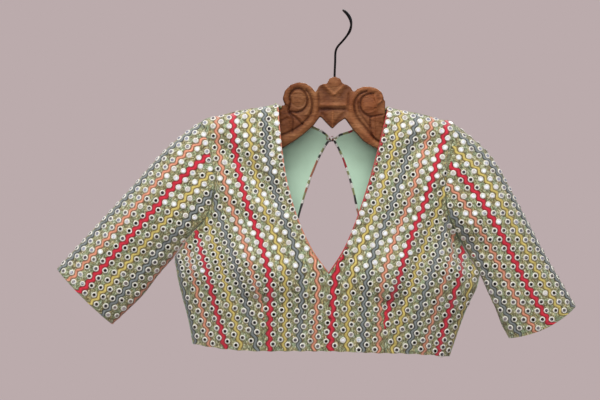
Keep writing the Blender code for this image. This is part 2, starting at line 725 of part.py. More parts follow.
def build_neck_fastener():
    """The small wire hook that joins the two back corners."""
    left, right = LEFT_LEVELS[CLOSURE].back_edge, RIGHT_LEVELS[CLOSURE].back_edge
    middle_x = (left.x + right.x) / 2
    depth = left.depth - WALL / 2
    low = left.z - FASTENER_HEIGHT / 2
    half_width = (right.x - left.x) / 2 - PIECE_GAP
    outline = [(middle_x - half_width, low), (middle_x + half_width, low),
               (middle_x + half_width, low + FASTENER_HEIGHT),
               (middle_x - half_width, low + FASTENER_HEIGHT)]
    return polygon_prism("neck_fastener", outline, depth - FASTENER_HALF,
                         depth + FASTENER_HALF, "iron")


def main():
    clear_scene()
    left = Half(LEFT_LEVELS, LEFT_SLEEVE, -1)
    right = Half(RIGHT_LEVELS, RIGHT_SLEEVE, 1)
    build_front(left, right)
    for half, side in ((left, "left"), (right, "right")):
        build_back(half, side)
        build_lining(half, side)
        build_sleeve(half, side)
        build_binding(half, side)
    build_piping(left, "left", "salmon")
    build_piping(right, "right", "red")
    build_neck_fastener()
    build_hanger()
    build_hook()


main()
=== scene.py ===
# %% [markdown]
# # Mirror-work blouse on a carved wooden hanger
# The real thing is a short lined blouse, cut from cloth that is embroidered all over and
# set with hundreds of tiny round mirrors between wavy couched bands. It hangs from a
# carved hanger with an iron hook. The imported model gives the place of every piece. Here
# each piece is made again with its true finish, in the same frame.
# %% Frame
import math
from collections import namedtuple

import bpy
import numpy as np
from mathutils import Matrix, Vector
from mathutils.bvhtree import BVHTree
from mathutils.geometry import barycentric_transform


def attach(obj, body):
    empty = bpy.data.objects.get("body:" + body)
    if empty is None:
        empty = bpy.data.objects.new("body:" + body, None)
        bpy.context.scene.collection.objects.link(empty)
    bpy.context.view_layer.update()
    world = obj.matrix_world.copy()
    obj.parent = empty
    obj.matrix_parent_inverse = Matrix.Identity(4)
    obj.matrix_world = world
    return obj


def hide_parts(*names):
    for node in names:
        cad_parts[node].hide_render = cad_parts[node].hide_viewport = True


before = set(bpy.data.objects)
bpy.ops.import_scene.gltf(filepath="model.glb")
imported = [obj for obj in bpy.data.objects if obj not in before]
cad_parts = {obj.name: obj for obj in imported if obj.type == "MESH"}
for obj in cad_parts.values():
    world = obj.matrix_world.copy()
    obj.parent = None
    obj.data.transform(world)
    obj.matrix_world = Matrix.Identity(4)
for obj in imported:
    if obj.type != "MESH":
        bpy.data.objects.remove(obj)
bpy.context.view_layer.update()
MM = 0.001
print("nodes in the frame:", len(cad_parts))

# %% [markdown]
# ## Camera, light and floor
# The blouse was photographed straight from the front at about two and a half metres. Soft
# boxes light the cloth and stay out of the mirrors. What the mirrors show is a room of
# their own: a window in front, white wherever the cloth leans back, a pale ceiling and dim
# furniture. A small helper adds a shader node, sets it and wires it, so the room, and each
# finish later, reads as a short recipe.
# %% Camera
CAMERA_PLACE = (-0.0645, -2.6, -0.28275)
LENS = 104.0
SENSOR = 36.0
WHITE = (1, 1, 1, 1)


def rgb(red, green, blue):
    """A colour as it looks on a screen, 0 to 255, as the linear colour shaders use."""
    shares = [value / 255 for value in (red, green, blue)]
    return [s / 12.92 if s <= 0.04045 else ((s + 0.055) / 1.055) ** 2.4 for s in shares] + [1.0]


lens = bpy.data.cameras.new("view")
lens.lens = LENS
lens.sensor_width = SENSOR
camera = bpy.data.objects.new("view", lens)
camera.location = CAMERA_PLACE
camera.rotation_euler = (math.radians(90), 0, 0)
bpy.context.scene.collection.objects.link(camera)
bpy.context.scene.camera = camera
bpy.context.scene.view_settings.view_transform = "Standard"
print("frame width at the hanger, m:", round(-CAMERA_PLACE[1] * SENSOR / LENS, 3))

# %% Shader helpers
def put(tree, kind, wires=None, **settings):
    """Add a shader node. Settings are its properties or, by name, its sockets."""
    item = tree.nodes.new("ShaderNode" + kind)
    for name, value in settings.items():
        if hasattr(item, name):
            setattr(item, name, value)
        else:
            item.inputs[name.replace("_", " ")].default_value = value
    for socket, source in (wires or {}).items():
        tree.links.new(source, item.inputs[socket])
    return item


def ramp(tree, source, stops, interpolation="LINEAR"):
    """A colour ramp over a value, from a list of places and colours."""
    item = put(tree, "ValToRGB", {0: source})
    item.color_ramp.interpolation = interpolation
    band = item.color_ramp
    while len(band.elements) < len(stops):
        band.elements.new(0.5)
    for index, (place, colour) in enumerate(stops):
        band.elements[index].position = place
        band.elements[index].color = colour
    return item.outputs["Color"]


def fill(tree, item, values):
    """Give sockets their values, each of which is a number, a colour or a socket."""
    for socket, value in values:
        if isinstance(value, bpy.types.NodeSocket):
            tree.links.new(value, item.inputs[socket])
        else:
            item.inputs[socket].default_value = value


def number(tree, operation, *values):
    """A number worked out from others."""
    item = put(tree, "Math", operation=operation)
    fill(tree, item, enumerate(values))
    return item.outputs[0]


def blend_colours(tree, factor, one, two, mode="MIX"):
    """One colour mixed with another by a factor."""
    item = put(tree, "Mix", data_type="RGBA", blend_type=mode)
    fill(tree, item, ((0, factor), (6, one), (7, two)))
    return item.outputs[2]


def raised(tree, height, depth, normal=None):
    """Bump of a height socket, as deep as depth metres."""
    wires = {"Height": height}
    if normal:
        wires["Normal"] = normal
    return put(tree, "Bump", wires, Distance=depth, Strength=1.0).outputs["Normal"]


def finish(name, roughness=0.6, metallic=0.0, **sockets):
    """The node tree of a new material, with the plain numbers on the shader itself."""
    material = bpy.data.materials.new(name)
    material.use_nodes = True
    shader = material.node_tree.nodes["Principled BSDF"]
    shader.inputs["Roughness"].default_value = roughness
    shader.inputs["Metallic"].default_value = metallic
    for socket, value in sockets.items():
        shader.inputs[socket.replace("_", " ")].default_value = value
    return material.node_tree


def dressed(tree, colour, normal=None):
    """The material of a tree, once a colour and a normal are wired to its shader."""
    shader = tree.nodes["Principled BSDF"]
    tree.links.new(colour, shader.inputs["Base Color"])
    if normal:
        tree.links.new(normal, shader.inputs["Normal"])
    return next(item for item in bpy.data.materials if item.node_tree == tree)


def layered(tree, colour, *layers):
    """A colour darkened by layers, each a strength and a colour."""
    for strength, layer in layers:
        colour = blend_colours(tree, strength, colour, layer, "MULTIPLY")
    return colour


def seen_from(tree, kind):
    """Places on a piece, in metres or on its own map, or directions in a room."""
    return put(tree, "TexCoord").outputs[kind]


def noise(tree, where, scale, detail=2.0, **settings):
    """Soft noise over places on a piece."""
    item = put(tree, "TexNoise", {"Vector": where}, Scale=scale, Detail=detail, **settings)
    return item.outputs["Fac"]


def cloth_map(tree, scale=(1, 1, 1), turn=0.0):
    """The piece's own map in centimetres of cloth, stretched and turned."""
    return put(tree, "Mapping", {"Vector": seen_from(tree, "UV")}, Scale=scale,
               Rotation=(0, 0, math.radians(turn))).outputs["Vector"]


def wave(tree, where, period, across="X", distort=0.0):
    """Fine ridges with a period in the units of the map."""
    return put(tree, "TexWave", {"Vector": where}, bands_direction=across,
               Scale=math.pi / 10 / period, Distortion=distort,
               Detail=1.0, Detail_Scale=2.0).outputs["Fac"]

# %% Light and room
ROOM = rgb(187, 171, 172)
CEILING = rgb(178, 178, 190)
WINDOW = (1.08, 1.10, 1.15, 1.0)


def soft_box(name, place, aim, size, watts, colour=(1, 1, 1)):
    """A rectangular soft light at a place, turned to its aim."""
    light = bpy.data.lights.new(name, "AREA")
    light.shape = "RECTANGLE"
    light.size, light.size_y = size
    light.energy = watts
    light.color = colour
    box = bpy.data.objects.new(name, light)
    box.location = place
    box.rotation_euler = (Vector(aim) - Vector(place)).to_track_quat("-Z", "Y").to_euler()
    box.visible_camera = False
    bpy.context.scene.collection.objects.link(box)
    return box


soft_box("key", (-0.3, -3.0, 1.55), (-0.06, 0, 0.5), (3.4, 2.5), 70).visible_glossy = False
soft_box("fill", (-0.06, -3.2, -0.1), (-0.06, 0, -0.3), (1.8, 1.4), 22).visible_glossy = False
soft_box("top", (-0.1, -0.75, 1.0), (-0.06, 0, -0.3), (1.3, 0.4), 24).visible_glossy = False
soft_box("rear", (0.3, 2.6, 1.3), (-0.06, 0, -0.3), (2.6, 1.8), 60)

def range_of(tree, value, low, high, soft):
    """1 between two values and 0 outside them, with soft ends."""
    ends = [put(tree, "MapRange", {"Value": value}, From_Min=start, From_Max=end).outputs[0]
            for start, end in ((low, low + soft), (high, high - soft))]
    return number(tree, "MINIMUM", *ends)


def seen_in_mirrors(room):
    """What the mirrors show: a window in front, a pale ceiling and dim furniture."""
    where = seen_from(room, "Generated")
    tones = ramp(room, noise(room, where, 11.0),
                 [(0.46, rgb(40, 36, 35)), (0.76, rgb(146, 138, 140))])
    way = put(room, "SeparateXYZ", {0: where})
    ceiling = range_of(room, way.outputs["Z"], 0.12, 2.0, 0.6)
    tones = blend_colours(room, ceiling, tones, CEILING)
    ahead = number(room, "MULTIPLY", way.outputs["Y"], -1.0)
    rise = number(room, "DIVIDE", way.outputs["Z"], ahead)
    aside = number(room, "DIVIDE", way.outputs["X"], ahead)
    window = number(room, "MULTIPLY", range_of(room, rise, 0.14, 1.12, 0.10),
                    range_of(room, aside, -0.62, 0.52, 0.12))
    window = number(room, "MULTIPLY", window, range_of(room, ahead, 0.0, 1.5, 0.02))
    return put(room, "Background", {"Color": blend_colours(room, window, tones, WINDOW)})


world = bpy.data.worlds.new("room")
world.use_nodes = True
bpy.context.scene.world = world
room = world.node_tree
backdrop = room.nodes["Background"]
backdrop.inputs["Color"].default_value = ROOM
shade = put(room, "Background", Color=rgb(214, 208, 205), Strength=0.37)
ray = put(room, "LightPath")
indoors = put(room, "MixShader", {0: ray.outputs["Is Glossy Ray"], 1: shade.outputs[0],
                                  2: seen_in_mirrors(room).outputs[0]})
seen = put(room, "MixShader", {0: ray.outputs["Is Camera Ray"], 1: indoors.outputs[0],
                               2: backdrop.outputs[0]})
room.links.new(seen.outputs[0], room.nodes["World Output"].inputs["Surface"])

# %% [markdown]
# ## Finishes
# Every surface gets a procedural finish. Cloth patterns read the piece's own map, which is
# laid out in centimetres of cloth, so the stitches keep their true size and follow the
# weave wherever it hangs.
# %% Embroidered ground
def embroidered_ground():
    """Close stitching in sage, olive and gold threads over an olive ground, with painted shade in
    the gaps between stitches and strands.
    """
    tree = finish("embroidered_ground", 0.62, Sheen_Weight=0.25, Sheen_Roughness=0.45,
                  Specular_IOR_Level=0.35)
    stitches = put(tree, "TexVoronoi", {"Vector": cloth_map(tree, (1.35, 0.75, 1), 24)},
                   voronoi_dimensions="2D", Scale=4.6, Randomness=0.95)
    tone = put(tree, "SeparateColor", {0: stitches.outputs["Color"]})
    threads = ramp(tree, tone.outputs[0],
                   [(0.0, rgb(120, 110, 88)), (0.12, rgb(148, 140, 114)), (0.28, rgb(160, 162, 138)),
                    (0.50, rgb(176, 182, 158)), (0.70, rgb(198, 202, 180)),
                    (0.84, rgb(202, 192, 156)), (0.92, rgb(234, 234, 224))], "CONSTANT")
    patches = noise(tree, cloth_map(tree), 0.9, 3.0, noise_dimensions="2D", Roughness=0.6)
    warm = ramp(tree, patches, [(0.35, rgb(250, 238, 205)), (0.65, rgb(225, 240, 225))])
    # Darker at each stitch's edge, where the bump sinks the cloth: the olive ground showing through,
    # with painted shade in the gaps.
    edge = ramp(tree, stitches.outputs["Distance"], [(0.3, WHITE), (0.65, rgb(128, 118, 92))])
    strands = wave(tree, cloth_map(tree, (1, 1, 1), 24), 0.045, "X", 1.5)
    # Darker in the grooves between strands: painted shade.
    between = ramp(tree, strands, [(0.0, rgb(120, 116, 92)), (0.7, WHITE)])
    colour = layered(tree, threads, (1.0, warm), (0.7, edge), (0.28, between))
    low = raised(tree, stitches.outputs["Distance"], -0.0006)
    return dressed(tree, colour, raised(tree, strands, 0.00015, low))


# %% Couched bands
def band_finish(name, core, edge, rim):
    """A wavy band of close satin stitch: bright along its middle, shaded at its edges."""
    tree = finish("band_" + name, 0.5, Sheen_Weight=0.3, Specular_IOR_Level=0.4)
    where = seen_from(tree, "UV")
    split = put(tree, "SeparateXYZ", {0: where})
    across = ramp(tree, split.outputs["X"],
                  [(0.0, rim), (0.2, rim), (0.28, edge), (0.4, core), (0.6, core), (0.72, edge),
                   (0.8, rim), (1.0, rim)])
    strands = wave(tree, cloth_map(tree, (0.4, 1, 1), 18), 0.055, "Y", 0.6)
    shade = ramp(tree, strands, [(0.0, rgb(165, 165, 165)), (0.6, WHITE)])
    wear = ramp(tree, noise(tree, where, 1.7, 2.0), [(0.3, rgb(205, 205, 205)), (0.6, WHITE)])
    colour = layered(tree, across, (0.7, shade), (0.8, wear))
    return dressed(tree, colour, raised(tree, strands, 0.00025))


BANDS = (
    ("red", rgb(226, 46, 68), rgb(196, 26, 48), rgb(134, 22, 34)),
    ("mustard", rgb(226, 206, 120), rgb(192, 166, 84), rgb(112, 92, 48)),
    ("grey", rgb(146, 153, 152), rgb(102, 108, 108), rgb(40, 42, 41)),
    ("salmon", rgb(240, 166, 134), rgb(208, 126, 96), rgb(122, 84, 58)),
)
band_finishes = [band_finish(*row) for row in BANDS]


# %% Mirrors and their thread rings
def mirror_glass():
    """Thin hand-cut mirror glass, never quite flat."""
    tree = finish("mirror_glass", 0.06, 1.0)
    where = seen_from(tree, "Object")
    ripple = noise(tree, where, 160.0, 1.0)
    tint = ramp(tree, noise(tree, where, 55.0, 0.0),
                [(0.36, rgb(196, 186, 176)), (0.5, rgb(226, 224, 230)), (0.64, rgb(244, 246, 250))])
    return dressed(tree, tint, raised(tree, ripple, 0.00022))


def ring_thread():
    """Off-white buttonhole stitches that hold each mirror down."""
    tree = finish("ring_thread", 0.7, Sheen_Weight=0.3)
    strands = wave(tree, seen_from(tree, "UV"), 0.5, "X")
    # Darker in the grooves between strands: painted shade.
    colour = ramp(tree, strands, [(0.0, rgb(206, 198, 182)), (0.5, rgb(250, 248, 240))])
    return dressed(tree, colour, raised(tree, strands, 0.0003))


# %% Lining, cords and bindings
def mint_lining():
    """Soft mint-green poplin with a fine weave."""
    tree = finish("mint_lining", 0.55, Sheen_Weight=0.2)
    cloudy = noise(tree, seen_from(tree, "Object"), 14.0, 4.0)
    mint = ramp(tree, cloudy, [(0.3, rgb(162, 187, 165)), (0.7, rgb(174, 201, 179))])
    weave = number(tree, "MAXIMUM", wave(tree, cloth_map(tree), 0.035, "X"),
                   wave(tree, cloth_map(tree), 0.035, "Y"))
    # The gaps of the weave are darker: painted shade between the threads.
    gaps = ramp(tree, weave, [(0.2, rgb(200, 214, 204)), (1.0, WHITE)])
    soft = raised(tree, cloudy, 0.002)
    return dressed(tree, layered(tree, mint, (0.3, gaps)), raised(tree, weave, 0.00006, soft))


def cord_finish(name, bright, deep):
    """A thin corded edge, wound with thread of one colour, with painted shade in the grooves between
    its turns.
    """
    tree = finish(name, 0.55, Sheen_Weight=0.3)
    wound = wave(tree, cloth_map(tree, (1, 1, 1), 30), 0.06, "Y", 0.4)
    # The second colour is painted shade in the grooves between turns of thread.
    return dressed(tree, ramp(tree, wound, [(0.0, deep), (0.7, bright)]),
                   raised(tree, wound, 0.0003))


def binding_finish(name, stops):
    """A strip of the embroidered cloth rolled over an edge: its stripes cross the roll."""
    tree = finish(name, 0.6, Sheen_Weight=0.25)
    where = seen_from(tree, "UV")
    split = put(tree, "SeparateXYZ", {0: where})
    shift = number(tree, "MULTIPLY_ADD", noise(tree, where, 2.4, 2.0), 0.5, split.outputs["Y"])
    stripes = ramp(tree, number(tree, "DIVIDE", shift, BINDING_SPAN), stops, "CONSTANT")
    strands = wave(tree, where, 0.07, "Y", 1.0)
    shade = ramp(tree, strands, [(0.0, rgb(150, 145, 140)), (0.6, WHITE)])
    return dressed(tree, layered(tree, stripes, (0.6, shade)), raised(tree, strands, 0.0004))


# %% Wood and iron
def carved_wood():
    """Oiled reddish hardwood: grain along the arms, with painted shade in the cuts and painted
    highlights on the ridges.
    """
    tree = finish("carved_wood", 0.45, Specular_IOR_Level=0.3)
    where = seen_from(tree, "Object")
    along = put(tree, "Mapping", {"Vector": where}, Scale=(14, 60, 90)).outputs[0]
    grain = noise(tree, along, 1.0, 6.0, Roughness=0.6, Distortion=0.8)
    fine = put(tree, "Mapping", {"Vector": where}, Scale=(60, 500, 700)).outputs[0]
    pores = noise(tree, fine, 1.0, 3.0)
    base = ramp(tree, grain,
                [(0.25, rgb(119, 74, 46)), (0.5, rgb(137, 91, 59)), (0.75, rgb(153, 107, 73))])
    dots = ramp(tree, pores, [(0.38, rgb(186, 170, 160)), (0.5, WHITE)])
    # The carve attribute is low in the cuts and high on the ridges: it paints shade into the cuts
    # and a highlight onto the ridges.
    cut = put(tree, "Attribute", attribute_name="carve")
    carve_shade_and_highlight = ramp(tree, cut.outputs["Fac"],
                [(0.0, rgb(128, 100, 86)), (0.4, rgb(206, 196, 190)), (0.52, rgb(232, 228, 224)),
                 (0.75, rgb(255, 250, 244))])
    stain = ramp(tree, noise(tree, where, 28.0, 3.0), [(0.35, rgb(208, 178, 166)), (0.6, WHITE)])
    # Colour lighter towards the right of the board, from x = -0.08 m to x = 0.06 m.
    across = put(tree, "SeparateXYZ", {0: where})
    share_to_the_right = put(tree, "MapRange", {"Value": across.outputs["X"]}, From_Min=-0.08, From_Max=0.06)
    lighter_to_the_right = ramp(tree, share_to_the_right.outputs[0], [(0.0, rgb(226, 226, 222)), (1.0, WHITE)])
    colour = layered(tree, base, (0.7, dots), (1.0, carve_shade_and_highlight), (0.8, stain), (1.0, lighter_to_the_right))
    return dressed(tree, colour, raised(tree, pores, 0.0001))


def black_iron():
    """Blackened iron wire with small hammer marks and a little brown."""
    tree = finish("black_iron", 0.45, 0.7)
    where = seen_from(tree, "Object")
    colour = ramp(tree, noise(tree, where, 60.0, 4.0),
                  [(0.4, rgb(30, 30, 32)), (0.62, rgb(46, 40, 38)), (0.75, rgb(70, 50, 40))])
    return dressed(tree, colour, raised(tree, noise(tree, where, 420.0, 3.0), 0.0003))


# %% Stripes of the bindings
BINDING_SPAN = 36.0       # centimetres from the foot of the keyhole to the shoulder
RUST, BONE, MOSS = rgb(176, 110, 84), rgb(232, 230, 222), rgb(148, 150, 100)
SOOT, CLARET, HONEY = rgb(62, 58, 56), rgb(176, 34, 46), rgb(206, 176, 96)
LEFT_STRIPES = [(0.0, MOSS), (0.16, RUST), (0.24, MOSS), (0.30, SOOT), (0.33, MOSS),
                (0.385, SOOT), (0.42, BONE), (0.435, SOOT), (0.50, BONE), (0.515, MOSS),
                (0.545, RUST), (0.57, BONE), (0.585, MOSS), (0.60, BONE), (0.615, RUST),
                (0.69, BONE), (0.70, SOOT), (0.715, BONE), (0.73, MOSS), (0.75, BONE),
                (0.765, SOOT), (0.785, BONE), (0.80, MOSS), (0.82, SOOT), (0.835, BONE),
                (0.85, MOSS), (0.88, RUST), (0.92, MOSS)]
RIGHT_STRIPES = [(0.0, RUST), (0.14, MOSS), (0.22, BONE), (0.24, SOOT), (0.32, MOSS),
                 (0.38, HONEY), (0.42, BONE), (0.43, RUST), (0.47, BONE), (0.49, SOOT),
                 (0.53, MOSS), (0.56, BONE), (0.58, SOOT), (0.60, BONE), (0.62, MOSS),
                 (0.635, BONE), (0.65, CLARET), (0.695, BONE), (0.71, MOSS), (0.725, SOOT),
                 (0.745, BONE), (0.76, SOOT), (0.775, MOSS), (0.79, BONE), (0.80, SOOT),
                 (0.82, MOSS), (0.84, CLARET), (0.86, MOSS), (0.90, CLARET), (0.94, MOSS)]
ground = embroidered_ground()
glass = mirror_glass()
thread = ring_thread()
lining_cloth = mint_lining()
salmon_cord = cord_finish("salmon_cord", rgb(232, 142, 112), rgb(150, 78, 58))
red_cord = cord_finish("red_cord", rgb(206, 40, 56), rgb(110, 22, 32))
left_binding = binding_finish("left_binding", LEFT_STRIPES)
right_binding = binding_finish("right_binding", RIGHT_STRIPES)
wood = carved_wood()
iron = black_iron()
print("finishes:", len(bpy.data.materials))

# %% [markdown]
# ## The cut of the body
# Front and back are flat cuts that hang over the hanger's arms. The shape could be found
# by draping cloth, but a hanging blouse keeps the same few measures every time, so it is
# laid out as levels from the hem to the shoulder, as a pattern maker would take them. All
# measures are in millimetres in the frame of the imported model: x to the viewer's right,
# z up, and a depth in front of or behind the side seams.
# %% Levels and sleeve sections
Level = namedtuple("Level", "name edge dart v_edge back_edge")
LEFT_LEVELS = (
    Level("hem", (-226, -498, 0, 0), (-117, -507, 30), (-22, -507, 30), (-17, -508, 22)),
    Level("waist", (-233, -460, 0, 0), (-117, -474, 34), (-22, -476, 31), (-17, -476, 24)),
    Level("dart end", (-242, -427, 0, 0), (-118, -441, 38), (-22, -446, 32), (-17, -438, 25)),
    Level("bust", (-249, -397, 0, 0), (-123, -410, 41), (-22, -417, 33), (-51, -413, 26)),
    Level("underarm", (-253, -368, 0, 0), (-139, -374, 40), (-22, -389, 33), (-68, -378, 26)),
    Level("V upper", (-230, -336, 14, 11), (-150, -346, 36), (-46, -355, 31), (-71, -345, 25)),
    Level("armhole low", (-204, -307, 22, 17), (-160, -312, 31), (-67, -309, 28),
          (-65, -308, 25)),
    Level("armhole mid", (-192, -263, 24, 19), (-168, -265, 27), (-82, -259, 25),
          (-51, -260, 24)),
    Level("armhole high", (-197, -219, 22, 18), (-178, -216, 24), (-90, -209, 23),
          (-34, -218, 23)),
    Level("hanger", (-205, -183, 17, 14), (-187, -178, 20), (-94, -170, 20), (-19, -192, 22)),
    Level("ridge", (-211, -171, 10, 9), (-190, -163, 12), (-96, -146, 12), (-72, -153, 17)),
    Level("shoulder", (-214, -165, 0, 0), (-190, -157, 0), (-98, -138, 0), (-98, -138, 0)),
)
RIGHT_LEVELS = (
    Level("hem", (160, -518, 0, 0), (59, -510, 30), (-22, -507, 30), (-17, -508, 22)),
    Level("waist", (178, -466, 0, 0), (59, -477, 34), (-22, -476, 31), (-17, -476, 24)),
    Level("dart end", (190, -437, 0, 0), (59, -446, 38), (-22, -446, 32), (-17, -438, 25)),
    Level("bust", (201, -415, 0, 0), (65, -415, 41), (-22, -417, 33), (15, -413, 26)),
    Level("underarm", (206, -394, 0, 0), (85, -381, 40), (-22, -389, 33), (31, -378, 26)),
    Level("V upper", (178, -348, 4, 11), (103, -348, 36), (0, -354, 31), (32, -345, 25)),
    Level("armhole low", (158, -309, 22, 17), (117, -311, 31), (19, -309, 28), (23, -308, 25)),
    Level("armhole mid", (152, -268, 24, 19), (130, -263, 27), (36, -258, 25), (12, -260, 24)),
    Level("armhole high", (159, -217, 22, 18), (141, -214, 24), (50, -209, 23), (-2, -218, 23)),
    Level("hanger", (165, -184, 17, 14), (148, -180, 20), (59, -171, 20), (-15, -192, 22)),
    Level("ridge", (169, -176, 10, 9), (150, -169, 12), (64, -151, 12), (40, -157, 17)),
    Level("shoulder", (170, -170, 0, 0), (150, -162, 0), (65, -143, 0), (65, -143, 0)),
)
UNDERARM, KEYHOLE_END, CLOSURE = 4, 2, 9
Section = namedtuple("Section", "top bottom front back bow")
LEFT_SLEEVE = (
    Section((-264, -205), (-276, -394), 26, 21, 2), Section((-318, -265), (-298, -423), 24, 20, 2),
    Section((-374, -326), (-322, -447), 22, 19, 1), Section((-429, -386), (-346, -469), 21, 19, 1),
)
RIGHT_SLEEVE = (
    Section((224, -220), (218, -422), 26, 21, 2), Section((265, -293), (229, -446), 24, 20, 4),
    Section((305, -368), (238, -470), 22, 19, 7), Section((349, -442), (249, -490), 21, 19, 8),
)
SIDE_ROUND, SLEEVE_ROUND = 0.75, 0.6   # how full the cloth rounds over at a seam or a fold
SEAM_BACK = 0.15               # half of the gap between two panels at a seam
PIPING_DRAWN, BINDING_DRAWN = 2.3, 3.3    # how far the cloth stops short of a corded edge
MITRE_LIMIT = 0.5
NECK_SPREAD = 1.5
NECK_CURVE = {-1: (0, 6, 8, 7, 2.5, 0.5), 1: (0, -3, -4.5, 4, 6, 4, 1.5)}
ROWS_A_LEVEL = 8
SIDE_STEPS, MIDDLE_STEPS = 28, 25
SIDE_CROWD = 1.35              # columns crowd towards the side seam, where the cloth turns
places = np.linspace(0, len(LEFT_LEVELS) - 1, (len(LEFT_LEVELS) - 1) * ROWS_A_LEVEL + 1)
side_share = (np.arange(SIDE_STEPS + 1) / SIDE_STEPS) ** SIDE_CROWD
middle_share = np.arange(MIDDLE_STEPS + 1) / MIDDLE_STEPS


# %% From levels to a surface
def on_curve(rows, place, corners=()):
    """The point at a place on a curve through rows, which may turn at corners."""
    index = min(int(place), len(rows) - 2)
    t = place - index
    here, after = rows[index], rows[index + 1]
    starts = index == 0 or index in corners
    ends = index + 2 >= len(rows) or index + 1 in corners
    leave = after - here if starts else (after - rows[index - 1]) / 2
    arrive = after - here if ends else (rows[index + 2] - here) / 2
    return (here * (2 * t**3 - 3 * t**2 + 1) + leave * (t**3 - 2 * t**2 + t)
            + after * (-2 * t**3 + 3 * t**2) + arrive * (t**3 - t**2))


def smooth_line(rows, corners=()):
    """Points at every place on a curve through table rows."""
    rows = np.array(rows, float)
    return np.array([on_curve(rows, place, corners) for place in places])


def inset(line, sign, distance):
    """An edge moved into its panel, seen from the front, with mitred corners."""
    runs = np.diff(line, axis=0)
    sides = np.stack([runs[:, 2], np.zeros(len(runs)), -runs[:, 0]], 1) * sign
    sides /= np.linalg.norm(sides, axis=1)[:, None]
    mean = np.vstack([sides[:1], sides[:-1] + sides[1:], sides[-1:]])
    mean /= np.linalg.norm(mean, axis=1)[:, None]
    lean = np.maximum(MITRE_LIMIT, (mean * np.vstack([sides[:1], sides])).sum(1))
    return line + mean * (distance / lean)[:, None], abs(sides[0][2])


def rounded(edge, line, shares):
    """Rows of cloth from the seam at the edge to a line, rounding away at the seam."""
    u = shares[None, :, None]
    lift = 2 * u - u * u
    grid = edge[:, None] + (line - edge)[:, None] * u
    grid[..., 2:] = edge[:, None, 2:] + (line - edge)[:, None, 2:] * lift
    grid[..., 1:2] = edge[:, None, 1:2] + (line - edge)[:, None, 1:2] * lift ** SIDE_ROUND
    return grid


def front_surface(levels, sign):
    """Outer surface of half of the front: rows from the hem, side seam to middle."""
    edge = smooth_line([(r.edge[0], -r.edge[2], r.edge[1]) for r in levels], (UNDERARM,))
    dart = smooth_line([(r.dart[0], -r.dart[2], r.dart[1]) for r in levels])
    middle = smooth_line([(r.v_edge[0], -r.v_edge[2], r.v_edge[1]) for r in levels], (UNDERARM,))
    tip = UNDERARM * ROWS_A_LEVEL
    neck, slope = inset(middle[tip:], sign, PIPING_DRAWN)
    middle[tip + 1:] = neck[1:]
    middle[tip, 2] -= PIPING_DRAWN / slope
    side = rounded(edge, dart, side_share)
    u = middle_share[None, 1:, None]
    inner = dart[:, None] + (middle - dart)[:, None] * u
    wavy = 0.5 - 0.5 * np.cos(np.pi * u)
    inner[..., 1:2] = dart[:, None, 1:2] + (middle - dart)[:, None, 1:2] * wavy
    grid = np.concatenate([side, inner], 1)
    grid[..., 1] -= SEAM_BACK
    return grid


def back_surface(levels, sign, front):
    """Outer surface of half of the back: rows from the hem, side seam to middle."""
    edge = smooth_line([(r.edge[0], r.edge[3], r.edge[1]) for r in levels], (UNDERARM,))
    corners = (KEYHOLE_END, CLOSURE)
    middle = smooth_line([(r.back_edge[0], r.back_edge[2], r.back_edge[1]) for r in levels],
                         corners)
    begin = CLOSURE * ROWS_A_LEVEL
    middle[begin:begin + len(NECK_CURVE[sign]), 0] += NECK_CURVE[sign]
    dart = smooth_line([(r.dart[0], 0, r.dart[1]) for r in levels])
    end = KEYHOLE_END * ROWS_A_LEVEL
    hole, slope = inset(middle[end:], sign, BINDING_DRAWN)
    middle[:end + 1, 0] += sign * SEAM_BACK
    middle[end, 2] -= BINDING_DRAWN / slope
    middle[end + 1:] = hole[1:]
    share = (dart[:, 0] - edge[:, 0]) / (middle[:, 0] - edge[:, 0])
    rows = []
    for row in range(len(places)):
        shares = np.concatenate([share[row] * side_share,
                                 share[row] + (1 - share[row]) * middle_share[1:]])
        rows.append(rounded(edge[row:row + 1], middle[row:row + 1], shares)[0])
    grid = np.array(rows)
    corner = levels[-1].back_edge[0] + sign * BINDING_DRAWN * NECK_SPREAD
    shares = (grid[-1, :, 0] - grid[-1, 0, 0]) / (grid[-1, -1, 0] - grid[-1, 0, 0])
    grid[-1, :, 0] = levels[-1].edge[0] + (corner - levels[-1].edge[0]) * shares
    grid[-1, :, 1] = 0
    order = np.argsort(front[-1, :, 0])
    grid[-1, :, 2] = np.interp(grid[-1, :, 0], front[-1, order, 0], front[-1, order, 2])
    grid[..., 1] += SEAM_BACK
    return grid


# %% [markdown]
# ## Sleeves
# A sleeve is sewn to the armhole, so it starts as the side edges of the front and the
# back, taken from the finished body. From there it runs through a few measured sections
# to the cuff. Each section is a flat loop with a top, a bottom and a depth each way.
# %% Sleeve surfaces
SLEEVE_ROWS = 76


